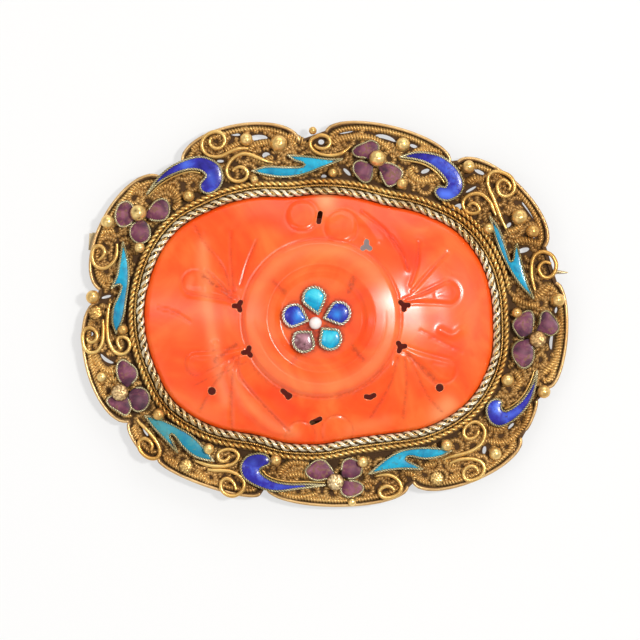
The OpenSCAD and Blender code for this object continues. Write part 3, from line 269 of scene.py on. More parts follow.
RIDGES = [
    pairs(-11.7, -6, -10.5, -8.3, -9.5, -11.1, -6.2, -14.1, -3.7, -14.1),
    pairs(-14.9, 9.2, -14.8, 7.6, -14.3, 5.5, -14.2, 2.8), pairs(0.5, 11.5, 2.5, 12.5, 4.7, 11, 6.4, 8.8),
    pairs(-13.1, -3.8, -12.3, -7, -11.1, -9.4), pairs(3.8, -9.4, 6.2, -8.2, 8.1, -6.3),
    pairs(13.9, -2, 15.3, -2.6, 16.3, -2)
]
CRACKS = [
    pairs(-15.7, -8.6, -11.9, -7, -9.4, -5.8), pairs(12.7, -2.9, 15.1, -4, 16.5, -4.6),
    pairs(11.5, -2, 14, -3.3, 15.3, -4.1), pairs(-20, 0.8, -17.9, 0.1, -16.1, -1)
]
# Their depth or height and width. A groove has a low bank on both sides.
GROOVE_CUT, GROOVE_BANK, RIDGE_RISE, CRACK_CUT = (0.14, 0.2), (0.05, 0.55), (0.16, 0.45), (0.05, 0.12)
# Painted shade in the grooves and cracks
LINE_DARK = 0.42
# Rough dark lines left by the tool: a line, its width, its strength
STIPPLES = [
    (pairs(2.9, 2.6, 3.5, 4.2), 0.35, 0.61), (pairs(-4.8, 2.6, -6.1, 3.7), 0.38, 0.49),
    (pairs(3.3, -3.9, 4.6, -5.5), 0.38, 0.55), (pairs(-3, -4.7, -3.9, -6), 0.31, 0.49),
    (pairs(-14.6, 4.5, -11.1, 1.8), 0.3, 0.68), (pairs(-13.1, -5.6, -10.6, -3.7), 0.3, 0.61),
    (pairs(13.1, -7.8, 9.9, -4.9), 0.33, 0.61), (pairs(10.4, 1.4, 13, 3.3), 0.28, 0.55),
    (pairs(-9.4, -4.2, -8.2, -6.6, -6, -8.6, -3.4, -9.8), 0.38, 0.37),
    (pairs(1.5, -10, 5, -8.6, 7.4, -6.2), 0.38, 0.37)
]
# Finger shapes, from the narrow end to the round one, and their radius there
FINGERS = [
    pairs(-10.9, 1.6, -15.6, 3.6), pairs(-9.8, -4.4, -15.3, -6), pairs(9.8, 1.5, 14.8, 2.5),
    pairs(9.7, -4.3, 14.3, -6.8)
]
FINGER_R = 1.35
# Round petals of the carving: middle x, middle y, radius, height
ROUND_PETALS = [
    (-2.7, 11.8, 1.85, 0.2), (2, 10.4, 1.9, 0.16), (1.5, -14.1, 1.8, 0.12), (-2.9, -14.7, 1.7, 0.1)
]
# Painted highlight on the medallion's raised shoulder: its radius and strength
SHOULDER_R, SHOULDER_HIGHLIGHT = 8.3, 0.35
# Lines round the medallion: radius, width, depth, painted shade in them
RING_LINES = [
    (9.55, 0.16, 0.1, 0.32), (6.25, 0.14, 0.05, 0.12), (5.4, 0.12, 0.03, 0.1)
]
# A last line round the medallion's lower side: radius, width, depth
LOW_LINE = (7.75, 0.12, 0.07)
# Painted highlights and painted reflections of the lamps on the coral, then the coral's deeper colour: a
# line, its width, its strength
PAINTED_HIGHLIGHTS = [
    (pairs(-14.6, 8.2, -14.3, 2.8, -13.1, -4.4, -11.9, -10.4), 0.8, 0.45),
    (pairs(-8.4, 2.4, -8.4, -3.2), 1, 0.3), (pairs(5, 6.2, 3.1, 7.6, -4.1, 7.6), 0.9, 0.25),
    (pairs(-11.4, -6.4, -10, -9.6, -6.5, -13.2, -3.5, -14.4), 0.7, 0.35), (pairs(0.2, 13.6), 1.2, 0.85),
    (pairs(14.8, -11, 13.8, -12), 1.2, 0.7), (pairs(7.4, -12.8, 3, -14), 0.8, 0.25),
    (pairs(-15.9, 4.2, -16.3, 3.2), 0.5, 0.3)
]
DEEP_PATCHES = [
    (pairs(6.4, 10.2, 9.1, 8.2, 10.8, 6.4), 1.6, 0.85),
    (pairs(-8.5, 11.4, -5.6, 10.9, -4.1, 9.8), 1.2, 0.6), (pairs(-14.9, -1.4, -15.3, -2.6), 1.3, 0.35),
    (pairs(-15.5, -8, -14.6, -7), 0.9, 0.4), (pairs(-6, -9.4, -4, -11.2, -2.4, -12.4), 0.9, 0.6),
    (pairs(13.9, -1.6, 15.9, -3.6), 1.3, 0.4), (pairs(14.2, 1.9, 15.4, 2.6), 1, 0.45),
    (pairs(10.3, -7.4, 11.4, -9.6), 0.8, 0.45), (pairs(4.3, 12.4), 1, 0.4),
    (pairs(17.6, 3, 18.4, -2), 1.1, 0.3)
]
# Lighter and darker places of the enamel, piece by piece: a line, its width, its strength
LEAF_GLOW = [
    [(pairs(-2.6, 18.2, 0.6, 18.6), 0.6, 0.4)], [(pairs(23.6, 5.8), 0.6, 0.3)],
    [(pairs(8.4, -18), 0.7, 0.25)], [(pairs(-20, -13.4, -18.6, -14.2), 0.9, 0.5)],
    [(pairs(-24.6, 5), 0.5, 0.3)]
]
LEAF_SHADE = [
    [(pairs(-6.6, 17.2), 0.8, 0.3)], [(pairs(21.6, 9.6, 20.6, 11), 0.5, 0.4)],
    [(pairs(6.2, -19), 0.6, 0.3)], [(pairs(-14.6, -17), 0.9, 0.3)], [(pairs(-24.8, -1.4), 0.9, 0.3)]
]
COMMA_GLOW = [
    [(pairs(-16.6, 17.9), 0.7, 0.75), (pairs(-13.7, 16.6, -13.4, 15.8), 0.5, 0.4)],
    [(pairs(14.2, 14.3, 14.9, 14.3), 0.6, 0.95), (pairs(13, 18.2, 14.6, 17.2), 0.4, 0.35)],
    [(pairs(20.6, -11.6, 20.7, -11), 0.45, 0.9), (pairs(21.6, -12.6, 23.4, -11.7), 0.4, 0.4)],
    [(pairs(-8.6, -18), 0.5, 0.25), (pairs(-5.4, -20.9, -2.4, -20.9), 0.4, 0.2)]
]
COMMA_SHADE = [
    [(pairs(-21, 14.8, -19.4, 16.4), 0.7, 0.6)], [(pairs(9.6, 18.9, 11, 19), 0.5, 0.5)],
    [(pairs(25.3, -7.6, 24.8, -9.4), 0.5, 0.6)], [(pairs(-7.6, -17.6), 0.5, 0.5)]
]
# Painted highlights on the centre petals
CENTRE_GLOW = [
    [(pairs(-0.9, 2.3), 0.6, 0.5)], [(pairs(1.5, -0.1), 0.55, 0.8)], [(pairs(0.7, -2.9), 0.6, 0.7)],
    [(pairs(-2.2, -3), 0.5, 0.9)], [(pairs(-3.1, -0.3), 0.6, 0.8)]
]
# Coiled wires: width, height, pitch, steps to a pitch, points across, slant, depth of the valleys
RIM_COIL = (0.8, 0.42, 0.36, 6, 8, 0.35, 0.1)
STRIP_COIL = (STRIP_W + 0.12, COIL_H + 0.1, 0.35, 7, 9, 0.3, 0.2)
FILL_COIL = (0.74, 0.34, 0.36, 5, 6, 0.3, 0.12)
# Small coils that fill the ground between the ornaments: their spacing and radius
FILL_STEP, FILL_R = 2.0, 1.0
# Ropes: distance from the coral, height over the deck, spread, wire, pitch, steps, sides
ROPE = (1.62, 0.34, 0.165, 0.175, 1.4, 14, 7)
THIN_ROPE = (1.12, 0.4, 0.075, 0.08, 0.62, 8, 5)
OUTER_ROPE = (2.3, 0.3, 0.15, 0.16, 1.3, 14, 7)
# Light: the world, the floor and its glow
WORLD, FLOOR_SHADE, FLOOR_GLOW = 0.47, 0.33, 0.6
FLOOR_WHITE = (1, 0.995, 0.985)
# The floor's glow is dim under the coral, a painted shadow: the half axes of that oval, and where its edge
# starts and ends
DIM_OVAL, DIM_EDGE = (19.5, 16.5), (0.93, 1.08)
# Holes of the coral with painted light on the floor behind them: x, y, radius of the lit floor, strength
LIT_HOLES = [
    (4.86, 8.46, 1.4, 0.2), (-0.5, 12.55, 0.6, 0.5)
]
# Painted reddish light on the floor under the coral: strength, colour
UNDER_GLOW, UNDER_RED = 0.08, (1, 0.17, 0.13)
# Studio lights: name, side in degrees from +X, degrees off the brooch's axis, distance, width, height, watts
# Distance and sizes of the lights and of the floor are in metres.
LIGHTS = [
    ("strip", 16, 22, 1, 0.05, 0.11, 5.2),
    ("left_strip", 176, 30, 1, 0.05, 0.6, 0.8),
    ("top", 80, 60, 1, 0.9, 0.5, 2.8),
    ("right", 10, 64, 1, 0.4, 0.8, 0.6),
    ("low", 225, 55, 1, 0.8, 0.6, 1)
]
FLOOR_HALF = 0.6


# ---- numbers and curves ----

def vec(p):
    return np.asarray(p, dtype=float)


def unit(v):
    return v / np.maximum(np.linalg.norm(v, axis=-1, keepdims=True), 1e-9)


def turned(v):
    """The direction a quarter turn to the left."""
    return np.stack([-v[..., 1], v[..., 0]], axis=-1)


def spline(a, b, c, d, t):
    """A place between b and c on the curve through four points."""
    return 0.5 * (2 * b + (c - a) * t + (2 * a - 5 * b + 4 * c - d) * t * t
                  + (3 * b - a - 3 * c + d) * t ** 3)


def smooth(points, steps):
    """A curve through the points, with so many steps between two of them."""
    p = vec(points)
    last = len(p) - 1
    out = [spline(p[max(i - 1, 0)], p[i], p[i + 1], p[min(i + 2, last)], k / steps)
           for i in range(last) for k in range(steps)]
    return np.array(out + [p[-1]])


def even(points, step, closed=False):
    """The same curve with even steps, and its length."""
    p = vec(points)
    if closed:
        p = np.vstack([p, p[:1]])
    d = np.concatenate([[0], np.cumsum(np.linalg.norm(np.diff(p, axis=0), axis=1))])
    n = max(2, int(round(d[-1] / step)))
    s = np.linspace(0, d[-1], n + 1)
    q = np.stack([np.interp(s, d, p[:, k]) for k in range(p.shape[1])], axis=1)
    return (q[:-1] if closed else q), d[-1]


def headings(p, closed=False):
    if closed:
        return unit(np.roll(p, -1, 0) - np.roll(p, 1, 0))
    return unit(np.gradient(p, axis=0))


def beside(p, d):
    return p + d * turned(headings(p))


def between(x, a, b):
    """A soft step from 0 at a to 1 at b."""
    t = np.clip((x - a) / (b - a), 0, 1)
    return t * t * (3 - 2 * t)


def hump(x, width):
    return np.exp(-(x / width) ** 2)


def coral_radius(a):
    s = np.asarray(a, dtype=float) / 15
    i = np.floor(s).astype(int)
    t = s - i
    r = vec(CORAL_RADII)
    n = len(r)
    return spline(r[(i - 1) % n], r[i % n], r[(i + 1) % n], r[(i + 2) % n], t)


def coral_edge(a):
    a = np.asarray(a, dtype=float)
    r = coral_radius(a)
    w = np.radians(a)
    return vec(CORAL_MIDDLE) + np.stack([r * np.cos(w), r * np.sin(w)], axis=-1)


def round_coral(d, a):
    """Points at d outside the coral's edge, at the angles a."""
    a = np.asarray(a, dtype=float)
    t = unit(coral_edge(a + 2) - coral_edge(a - 2))
    return coral_edge(a) - np.reshape(d, (-1, 1)) * turned(t)


def lobe_path(lobe, d, count):
    """The outline of a lobe, drawn in by d: half an oval on the line between its ends."""
    a, b = vec(lobe[:2]), vec(lobe[2:4])
    along = unit(b - a)
    out = turned(along)
    a, b = a + d * (along - out), b - d * (along + out)
    t = np.radians(np.linspace(0.0, 180.0, count))[:, None]
    return (a + b) / 2 - np.cos(t) * (b - a) / 2 + np.sin(t) * lobe[4] * turned(unit(b - a))


def inside(points, outline):
    """True for each point within the closed outline."""
    x, y = points[:, 0][:, None], points[:, 1][:, None]
    p, q = outline, np.roll(outline, -1, 0)
    crosses = (p[:, 1] > y) != (q[:, 1] > y)
    rise = np.where(np.abs(q[:, 1] - p[:, 1]) < 1e-12, 1e-12, q[:, 1] - p[:, 1])
    at = p[:, 0] + (y - p[:, 1]) / rise * (q[:, 0] - p[:, 0])
    return (np.sum(crosses & (x < at), axis=1) % 2) == 1


def reach(points, line, closed=False):
    """Each point's distance from a line of points."""
    p = vec(points)
    q = vec(line)
    if len(q) == 1:
        return np.linalg.norm(p - q[0], axis=1)
    ends = np.vstack([q, q[:1]]) if closed else q
    best = np.full(len(p), 1e9)
    for a, b in zip(ends[:-1], ends[1:]):
        ab = b - a
        t = np.clip(((p - a) @ ab) / max(ab @ ab, 1e-12), 0, 1)
        best = np.minimum(best, np.linalg.norm(p - a - t[:, None] * ab, axis=1))
    return best


def capsule(points, a, b, ra, rb):
    """Signed distance from a finger shape that widens from a to b."""
    p, a, b = vec(points), vec(a), vec(b)
    ab = b - a
    t = np.clip(((p - a) @ ab) / (ab @ ab), 0, 1)
    return np.linalg.norm(p - a - t[:, None] * ab, axis=1) - (ra + (rb - ra) * t ** 1.3)


# ---- meshes ----

def shown(name, data):
    """A new object in the scene."""
    o = bpy.data.objects.new(name, data)
    bpy.context.scene.collection.objects.link(o)
    return o


class Pile:
    """Faces of many small forms that become one mesh. A point's tone is lightness (painted shade and dark
    marks), deep colour, and accent (lighter colour, painted highlights among it).
    """

    def __init__(self):
        self.verts, self.faces, self.tones, self.slots, self.count = [], [], [], [], 0

    def add(self, verts, faces, tone=1.0, accent=0.0, deep=0.0, part=0):
        verts = vec(verts)
        n = len(verts)
        tones = np.ones((n, 4))
        tones[:, 0], tones[:, 1], tones[:, 2] = tone, deep, accent
        self.verts.append(verts)
        self.tones.append(tones)
        for f in faces:
            f = np.asarray(f)
            if len(f):
                self.faces += (f + self.count).tolist()
                self.slots += [part] * len(f)
        self.count += n

    def build(self, name, materials, slot, nodes=()):
        mesh = bpy.data.meshes.new(name)
        mesh.from_pydata((np.vstack(self.verts) * MM).tolist(), [], self.faces)
        for m in materials:
            mesh.materials.append(m)
        mesh.polygons.foreach_set("material_index", self.slots)
        mesh.polygons.foreach_set("use_smooth", [True] * len(mesh.polygons))
        layer = mesh.color_attributes.new("tone", "FLOAT_COLOR", "POINT")
        layer.data.foreach_set("color", np.vstack(self.tones).ravel())
        mesh.update()
        piece = shown(name, mesh)
        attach(piece, "brooch")
        if nodes:
            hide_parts(*nodes)
        return piece


def grid_faces(rows, cols, loop_rows=False, loop_cols=False):
    i = np.arange(rows if loop_rows else rows - 1)[:, None]
    j = np.arange(cols if loop_cols else cols - 1)[None, :]
    a = i * cols + j
    b = i * cols + (j + 1) % cols
    c = ((i + 1) % rows) * cols + (j + 1) % cols
    d = ((i + 1) % rows) * cols + j
    return np.stack([a, d, c, b], axis=-1).reshape(-1, 4)


def tube(path, r, sides, closed=False):
    """A round wire along a path of x, y, z."""
    p = vec(path)
    n = len(p)
    t = headings(p, closed)
    side = np.cross(np.array([0.0, 0.0, 1.0]), t)
    size = np.linalg.norm(side, axis=1, keepdims=True)
    side = np.where(size > 0.05, side / np.maximum(size, 1e-9), np.array([1.0, 0.0, 0.0]))
    up = np.cross(t, side)
    a = 2 * np.pi * np.arange(sides) / sides
    r = np.broadcast_to(np.asarray(r, dtype=float), (n,))[:, None, None]
    ring = r * (np.cos(a)[None, :, None] * side[:, None, :] + np.sin(a)[None, :, None] * up[:, None, :])
    verts = (p[:, None, :] + ring).reshape(-1, 3)
    faces = [grid_faces(n, sides, closed, True)]
    if not closed:
        faces.append(np.arange(sides)[None, :])
        faces.append(((n - 1) * sides + np.arange(sides)[::-1])[None, :])
    return verts, faces


def lifted(path, z):
    p = vec(path)
    return np.column_stack([p, np.broadcast_to(z, (len(p),))])


def twist(pile, path, z, spread, wire, pitch, closed=False, steps=8, sides=5, rise=1.0, start=0.0):
    """Two strands that twist round each other along a flat path."""
    p, length = even(path, pitch / steps, closed)
    turns = max(1, round(length / pitch)) if closed else length / pitch
    s = np.arange(len(p)) / (len(p) if closed else len(p) - 1)
    side = turned(headings(p, closed))
    for strand in (0, 0.5):
        a = 2 * np.pi * (turns * s + start + strand)
        flat = p + spread * np.cos(a)[:, None] * side
        verts, faces = tube(np.column_stack([flat, z + rise * spread * np.sin(a)]), wire, sides, closed)
        # Painted light and shade: a strand is lighter where it rises over the other and darker where it dips
        # under
        shade = np.repeat(0.55 + 0.45 * np.sin(a), sides)
        pile.add(verts, faces, tone=np.clip(shade, 0, 1))


def plait(pile, path, z, spread, rise, wire, pitch, part, strands=3, steps=14, sides=5):
    """A flat plait round a closed path."""
    p, length = even(path, pitch / steps, True)
    turns = round(length / pitch)
    s = np.arange(len(p)) / len(p)
    side = turned(headings(p, True))
    for k in range(strands):
        u = turns * s + k / strands
        flat = p + spread * np.sin(2 * np.pi * u)[:, None] * side
        high = rise * np.cos(4 * np.pi * u)
        verts, faces = tube(np.column_stack([flat, z + high]), wire, sides, True)
        # Painted shade: a strand is darker where it runs low
        pile.add(verts, faces, tone=np.repeat(np.clip(0.6 + 0.4 * high / rise, 0, 1), sides), part=part)


def ribbed(pile, path, z0, coil):
    """A wire wound into a close, flattened coil along a flat path."""
    width, height, pitch, per, across, slant, valley = coil
    p, length = even(path, pitch / per)
    n = len(p)
    s = np.linspace(0, length, n)
    side = turned(headings(p))
    v = np.linspace(-1, 1, across)
    near = np.clip(np.minimum(s, length - s) / (width / 2), 0.0, 1)
    wide = width / 2 * np.sqrt(np.clip(1 - (1 - near) ** 2, 0.04, 1))
    phase = (s[:, None] + slant * v[None, :] * wide[:, None]) / pitch
    rib = np.sqrt(np.clip(1 - (2 * (phase % 1) - 1) ** 2, 0, 1))
    arch = np.sqrt(np.clip(1 - v ** 2, 0, 1))[None, :]
    lateral = v[None, :] * wide[:, None] * (0.86 + 0.14 * rib)
    xy = p[:, None, :] + lateral[..., None] * side[:, None, :]
    z = z0 + height * arch * (valley + (1 - valley) * rib) * (wide[:, None] / (width / 2)) ** 0.5
    verts = np.concatenate([xy, z[..., None]], axis=-1).reshape(-1, 3)
    # Painted shade in the valleys between the turns and towards the strip's edges
    tone = np.clip(rib * 1.15 - 0.1, 0, 1) * (0.35 + 0.65 * arch)
    pile.add(verts, [grid_faces(n, across)], tone=tone.ravel())


def filled(outline, spacing):
    """Points and triangles that fill a closed outline, with each point's distance from its edge."""
    edge = vec(outline)
    low, high = edge.min(0), edge.max(0)
    gx = np.arange(low[0] + spacing / 2, high[0], spacing)
    gy = np.arange(low[1] + spacing / 2, high[1], spacing * 0.87)
    grid = np.array([(x + (spacing / 2 if j % 2 else 0), y) for j, y in enumerate(gy) for x in gx])
    grid = grid[inside(grid, edge)]
    if len(grid):
        grid = grid[reach(grid, edge, True) > spacing * 0.55]
    n = len(edge)
    points = np.vstack([edge, grid]) if len(grid) else edge
    loop = [(i, (i + 1) % n) for i in range(n)]
    out = delaunay_2d_cdt([Vector(q) for q in points], loop, [list(range(n))], 1, 1e-5)
    flat = np.array([tuple(q) for q in out[0]])
    faces = [list(f) for f in out[2]]
    return flat, faces, reach(flat, edge, True)


ICO = {}


def ball(level):
    """Points and faces of a unit ball."""
    if level not in ICO:
        bm = bmesh.new()
        bmesh.ops.create_icosphere(bm, subdivisions=level, radius=1.0)
        faces = [[v.index for v in f.verts] for f in bm.faces]
        ICO[level] = (np.array([tuple(v.co) for v in bm.verts]), np.array(faces))
        bm.free()
    return ICO[level]


def grain(pile, x, y, r, floor, level, dents, sink=0.5):
    """A grain of shot with small dents, flattened where it is soldered down, with painted shade in its dents
    and on its lower side.
    """
    verts, faces = ball(level)
    away = unit(verts)
    push = np.ones(len(verts))
    shade = np.ones(len(verts))
    for k in range(dents):
        d = unit(np.append(rng.normal(size=2), abs(rng.normal()) + 0.4))
        w = rng.uniform(0.08, 0.2)
        g = np.exp(-((1 - away @ d) / (w * w)) ** 1.5)
        push -= 0.05 * g
        shade -= 0.55 * g * rng.uniform(0.3, 1)
    for k in range(3):
        d = unit(rng.normal(size=3))
        push += 0.02 * (away @ d)
    out = verts * push[:, None] * r + np.array([x, y, floor + sink * r])
    low = np.clip((out[:, 2] - floor) / (0.9 * r), 0, 1)
    out[:, 2] = np.maximum(out[:, 2], floor)
    pile.add(out, [faces], tone=np.clip(shade, 0, 1) * (0.35 + 0.65 * low))


def nugget(pile, x, y, r, h, floor, granules=46):
    """A flat grain covered with fine granules, with painted shade between them and on its lower side."""
    verts, faces = ball(4)
    bump = np.zeros(len(verts))
    for k in range(granules):
        q = 0.97 * math.sqrt((k + 0.5) / granules)
        a = k * 2.39996 + rng.uniform(-0.35, 0.35)
        c = np.array([q * math.cos(a), q * math.sin(a)])
        d2 = ((verts[:, 0] - c[0]) ** 2 + (verts[:, 1] - c[1]) ** 2) / (rng.uniform(0.1, 0.15) ** 2)
        bump = np.maximum(bump, np.sqrt(np.clip(1 - d2, 0, 1)) * rng.uniform(0.6, 1))
    up = np.clip(verts[:, 2], 0, 1)
    out = verts.copy()
    out[:, 0], out[:, 1] = x + verts[:, 0] * r, y + verts[:, 1] * r
    out[:, 2] = floor + h * np.sqrt(up) * 0.82 + 0.11 * bump * np.sqrt(up)
    pile.add(out, [faces], tone=np.clip(0.35 + 0.65 * bump, 0, 1) * (0.4 + 0.6 * np.sqrt(up)))


# ---- materials ----

def tree(name):
    m = bpy.data.materials.new(name)
    m.use_nodes = True
    t = m.node_tree
    return m, t, t.nodes["Principled BSDF"]


def node(t, kind, **values):
    n = t.nodes.new(kind)
    for key, value in values.items():
        setattr(n, key, value)
    return n


def put(n, values):
    """Sets a node's inputs."""
    for key, value in values.items():
        n.inputs[key].default_value = value


def tone_channels(t):
    at = node(t, "ShaderNodeAttribute", attribute_name="tone")
    split = node(t, "ShaderNodeSeparateColor")
    t.links.new(at.outputs["Color"], split.inputs["Color"])
    return split.outputs


def noise(t, scale, detail=3.0, rough=0.55, distortion=0.0):
    n = node(t, "ShaderNodeTexNoise")
    put(n, {"Scale": scale, "Detail": detail, "Roughness": rough, "Distortion": distortion})
    t.links.new(node(t, "ShaderNodeTexCoord").outputs["Object"], n.inputs["Vector"])
    return n.outputs["Fac"]


def span(t, source, low, high, to_low=0.0, to_high=1.0):
    """The source, carried from one range to another and kept in it."""
    n = node(t, "ShaderNodeMapRange")
    put(n, {"From Min": low, "From Max": high, "To Min": to_low, "To Max": to_high})
    t.links.new(source, n.inputs["Value"])
    return n.outputs["Result"]


def ramp(t, source, stops):
    r = node(t, "ShaderNodeValToRGB")
    e = r.color_ramp.elements
    while len(e) < len(stops):
        e.new(0.5)
    for item, (at, color) in zip(e, stops):
        item.position = at
        item.color = tuple(color) + (1.0,)
    t.links.new(source, r.inputs["Fac"])
    return r.outputs["Color"]


def mask(t, source, low, high):
    """Black below one value of the source and white above the other."""
    return ramp(t, source, [(low, BLACK), (high, WHITE)])


def mixed(t, fac, a, b):
    m = node(t, "ShaderNodeMix", data_type="RGBA")
    for value, at in ((fac, 0), (a, 6), (b, 7)):
        if hasattr(value, "links"):
            t.links.new(value, m.inputs[at])
        else:
            m.inputs[at].default_value = value if at == 0 else tuple(value) + (1.0,)
    return m.outputs[2]


def math_node(t, how, a, b):
    m = node(t, "ShaderNodeMath", operation=how)
    for i, value in enumerate((a, b)):
        if hasattr(value, "links"):
            t.links.new(value, m.inputs[i])
        else:
            m.inputs[i].default_value = value
    return m.outputs[0]


def swayed(t, source, noise_out, amount):
    """The source, with a noise added to it."""
    sway = math_node(t, "SUBTRACT", noise_out, 0.5)
    return math_node(t, "ADD", source, math_node(t, "MULTIPLY", sway, amount))


def bump(t, shader, height, strength, distance):
    b = node(t, "ShaderNodeBump")
    put(b, {"Strength": strength, "Distance": distance})
    t.links.new(height, b.inputs["Height"])
    t.links.new(b.outputs["Normal"], shader.inputs["Normal"])


def rgb(r, g, b):
    """A colour given as the screen shows it."""
    def one(c):
        c = c / 255
        return c / 12.92 if c <= 0.04045 else ((c + 0.055) / 1.055) ** 2.4
    return (one(r), one(g), one(b))


def metal(name, light, mid, dark, rough, shade_and_grime, bright=0.8, by_height=None):
    """Worn metal with painted shade: dark in its hollows and on the low sides of its wires, by the points'
    tone, or low down by their height, and scattered by noise like grime.
    """
    m, t, s = tree(name)
    put(s, {"Metallic": bright})
    face = ramp(t, noise(t, 170.0, 2.0, 0.5), [(0.35, rgb(*mid)), (0.65, rgb(*light))])
    if by_height:
        split = node(t, "ShaderNodeSeparateXYZ")
        t.links.new(node(t, "ShaderNodeTexCoord").outputs["Object"], split.inputs["Vector"])
        hollow = span(t, split.outputs["Z"], by_height[0] * MM, by_height[1] * MM)
    else:
        hollow = tone_channels(t)[0]
    # Painted shade: where the tone or the height is low the metal takes its dark colour and grows rougher,
    # broken up by noise like grime
    keep = mask(t, swayed(t, hollow, noise(t, 900.0, 4.0, 0.6), shade_and_grime), 0.12, 0.7)
    t.links.new(mixed(t, keep, rgb(*dark), face), s.inputs["Base Color"])
    t.links.new(span(t, keep, 0.0, 1.0, rough + 0.3, rough), s.inputs["Roughness"])
    bump(t, s, noise(t, 2600.0, 3.0, 0.6), 0.35, 0.06 * MM)
    return m


def enamel(name, deep, main, light, worn, wear, rough, coat):
    """Clouded enamel, darker at its edge with painted shade, with worn spots if it has a colour for them."""
    m, t, s = tree(name)
    ch = tone_channels(t)
    cloud = noise(t, 520.0, 4.0, 0.6, 0.6)
    fine = noise(t, 2300.0, 3.0, 0.6)
    deep, main, light = rgb(*deep), rgb(*main), rgb(*light)
    base = ramp(t, cloud, [(0.3, deep), (0.52, main), (0.8, light)])
    # Lighter and darker places from the patches; on the centre petals and the flowers these are painted
    # highlight and painted shade
    base = mixed(t, ch[2], base, light)
    base = mixed(t, ch[1], base, deep)
    if worn:
        base = mixed(t, mask(t, swayed(t, fine, cloud, 0.8), 0.62 - wear, 0.78 - wear), base, rgb(*worn))
    # Painted shade: a low tone, along the edge and on the walls, darkens the enamel towards its deep colour
    base = mixed(t, mask(t, ch[0], 0.0, 0.55), tuple(0.35 * c for c in deep), base)
    t.links.new(base, s.inputs["Base Color"])
    put(s, {"Roughness": rough, "Specular IOR Level": 0.3, "Coat Weight": coat, "Coat Roughness": 0.08})
    bump(t, s, fine, 0.4, 0.05 * MM)
    return m


def coral_material():
    m, t, s = tree("carved_coral")
    ch = tone_channels(t)
    base = ramp(t, noise(t, 95.0, 3.0, 0.5, 2.2),
                [(0.32, rgb(255, 72, 6)), (0.5, rgb(255, 88, 18)), (0.68, rgb(255, 110, 40))])
    cloud = mask(t, noise(t, 240.0, 4.0, 0.55, 0.8), 0.45, 0.75)
    base = mixed(t, math_node(t, "MULTIPLY", cloud, 0.35), base, rgb(255, 122, 54))
    base = mixed(t, ch[1], base, rgb(255, 56, 0))
    # Painted highlights: paler coral where the accent is high
    base = mixed(t, ch[2], base, rgb(255, 158, 100))
    # Painted shade in the carved lines and round the petals, and the tool's dark marks, where the tone is low
    dark = math_node(t, "MULTIPLY", math_node(t, "SUBTRACT", 1.0, ch[0]),
                     ramp(t, noise(t, 2100.0, 2.0, 0.7), [(0.35, (0.35, 0.35, 0.35)), (0.6, WHITE)]))
    base = mixed(t, dark, base, rgb(150, 44, 20))
    t.links.new(base, s.inputs["Base Color"])
    put(s, {"Roughness": 0.42, "Specular IOR Level": 0.16, "Coat Weight": 0.7, "Coat Roughness": 0.21,
            "Subsurface Weight": 0.08, "Subsurface Radius": (0.0012, 0.0005, 0.0003),
            "Subsurface Scale": 1.0})
    bump(t, s, mask(t, noise(t, 1300.0, 3.0, 0.6), 0.28, 0.4), 0.25, 0.04 * MM)
    return m


def pearl_material():
    m, t, s = tree("pearl")
    t.links.new(ramp(t, noise(t, 700.0, 2.0), [(0.3, rgb(238, 205, 195)), (0.7, rgb(255, 246, 240))]),
                s.inputs["Base Color"])
    put(s, {"Roughness": 0.25, "Coat Weight": 0.7, "Coat Roughness": 0.1})
    return m


BLACK, WHITE = (0, 0, 0), (1, 1, 1)
# Metals: light, middle and dark colour as the screen shows them (dark: painted shade, with grime), roughness,
# noise in the painted shade, metallic share, heights of the painted shade
gold = metal("gold_wire", (245, 205, 125), (214, 160, 82), (84, 50, 14), 0.3, 0.45)
gilt = metal("gilt_ribs", (238, 196, 122), (196, 148, 80), (52, 32, 10), 0.36, 0.5, 0.7)
dim = metal("dim_ribs", (214, 168, 100), (160, 116, 60), (44, 28, 10), 0.4, 0.6, 0.6)
shot_gold = metal("shot_gold", (250, 215, 140), (222, 170, 92), (96, 58, 18), 0.3, 0.45)
nugget_gold = metal("nugget_gold", (250, 220, 165), (215, 170, 108), (100, 64, 28), 0.4, 0.5)
pale = metal("pale_wire", (252, 242, 212), (214, 186, 136), (44, 30, 14), 0.28, 0.6)
rim_gold = metal("rim_gold", (235, 195, 135), (200, 155, 95), (80, 50, 20), 0.34, 0.4, 0.7)
silver = metal("silver_edge", (255, 252, 238), (214, 206, 176), (30, 26, 16), 0.26, 0.55)
edging = metal("edging_wire", (236, 224, 180), (170, 154, 104), (24, 20, 12), 0.34, 0.6, 0.7)
ground = metal("ground_gold", (184, 138, 78), (140, 100, 52), (84, 56, 27), 0.45, 0.7, 0.5, (2.0, 4.2))
pin_metal = metal("pin_metal", (200, 180, 140), (165, 140, 100), (90, 70, 40), 0.36, 0.25, 0.8, (-1.0, 0.2))
# Enamels: deep, middle and light colour, colour and share of the worn spots, roughness, coat
turquoise = enamel("turquoise", (0, 100, 142), (0, 152, 188), (40, 196, 228), (60, 130, 140), 0.03, 0.4, 0.1)
dull_turquoise = enamel("dull_turquoise", (0, 118, 158), (26, 136, 156), (80, 158, 160), (76, 132, 128), 0.05,
                        0.4, 0.1)
blue = enamel("blue", (24, 16, 104), (44, 38, 160), (84, 120, 240), (60, 50, 120), -0.02, 0.24, 0.3)
purple = enamel("purple", (46, 12, 34), (108, 42, 70), (180, 116, 134), (126, 84, 64), 0.1, 0.4, 0.15)
turquoise_deep = enamel("turquoise_deep", (0, 112, 165), (0, 176, 214), (92, 226, 236), None, 0, 0.24, 0.3)
blue_deep = enamel("blue_deep", (28, 16, 104), (42, 40, 168), (54, 148, 236), None, 0, 0.24, 0.3)
mauve = enamel("mauve", (72, 34, 42), (112, 66, 74), (212, 156, 168), (90, 60, 60), 0.0, 0.2, 0.5)
coral_look = coral_material()
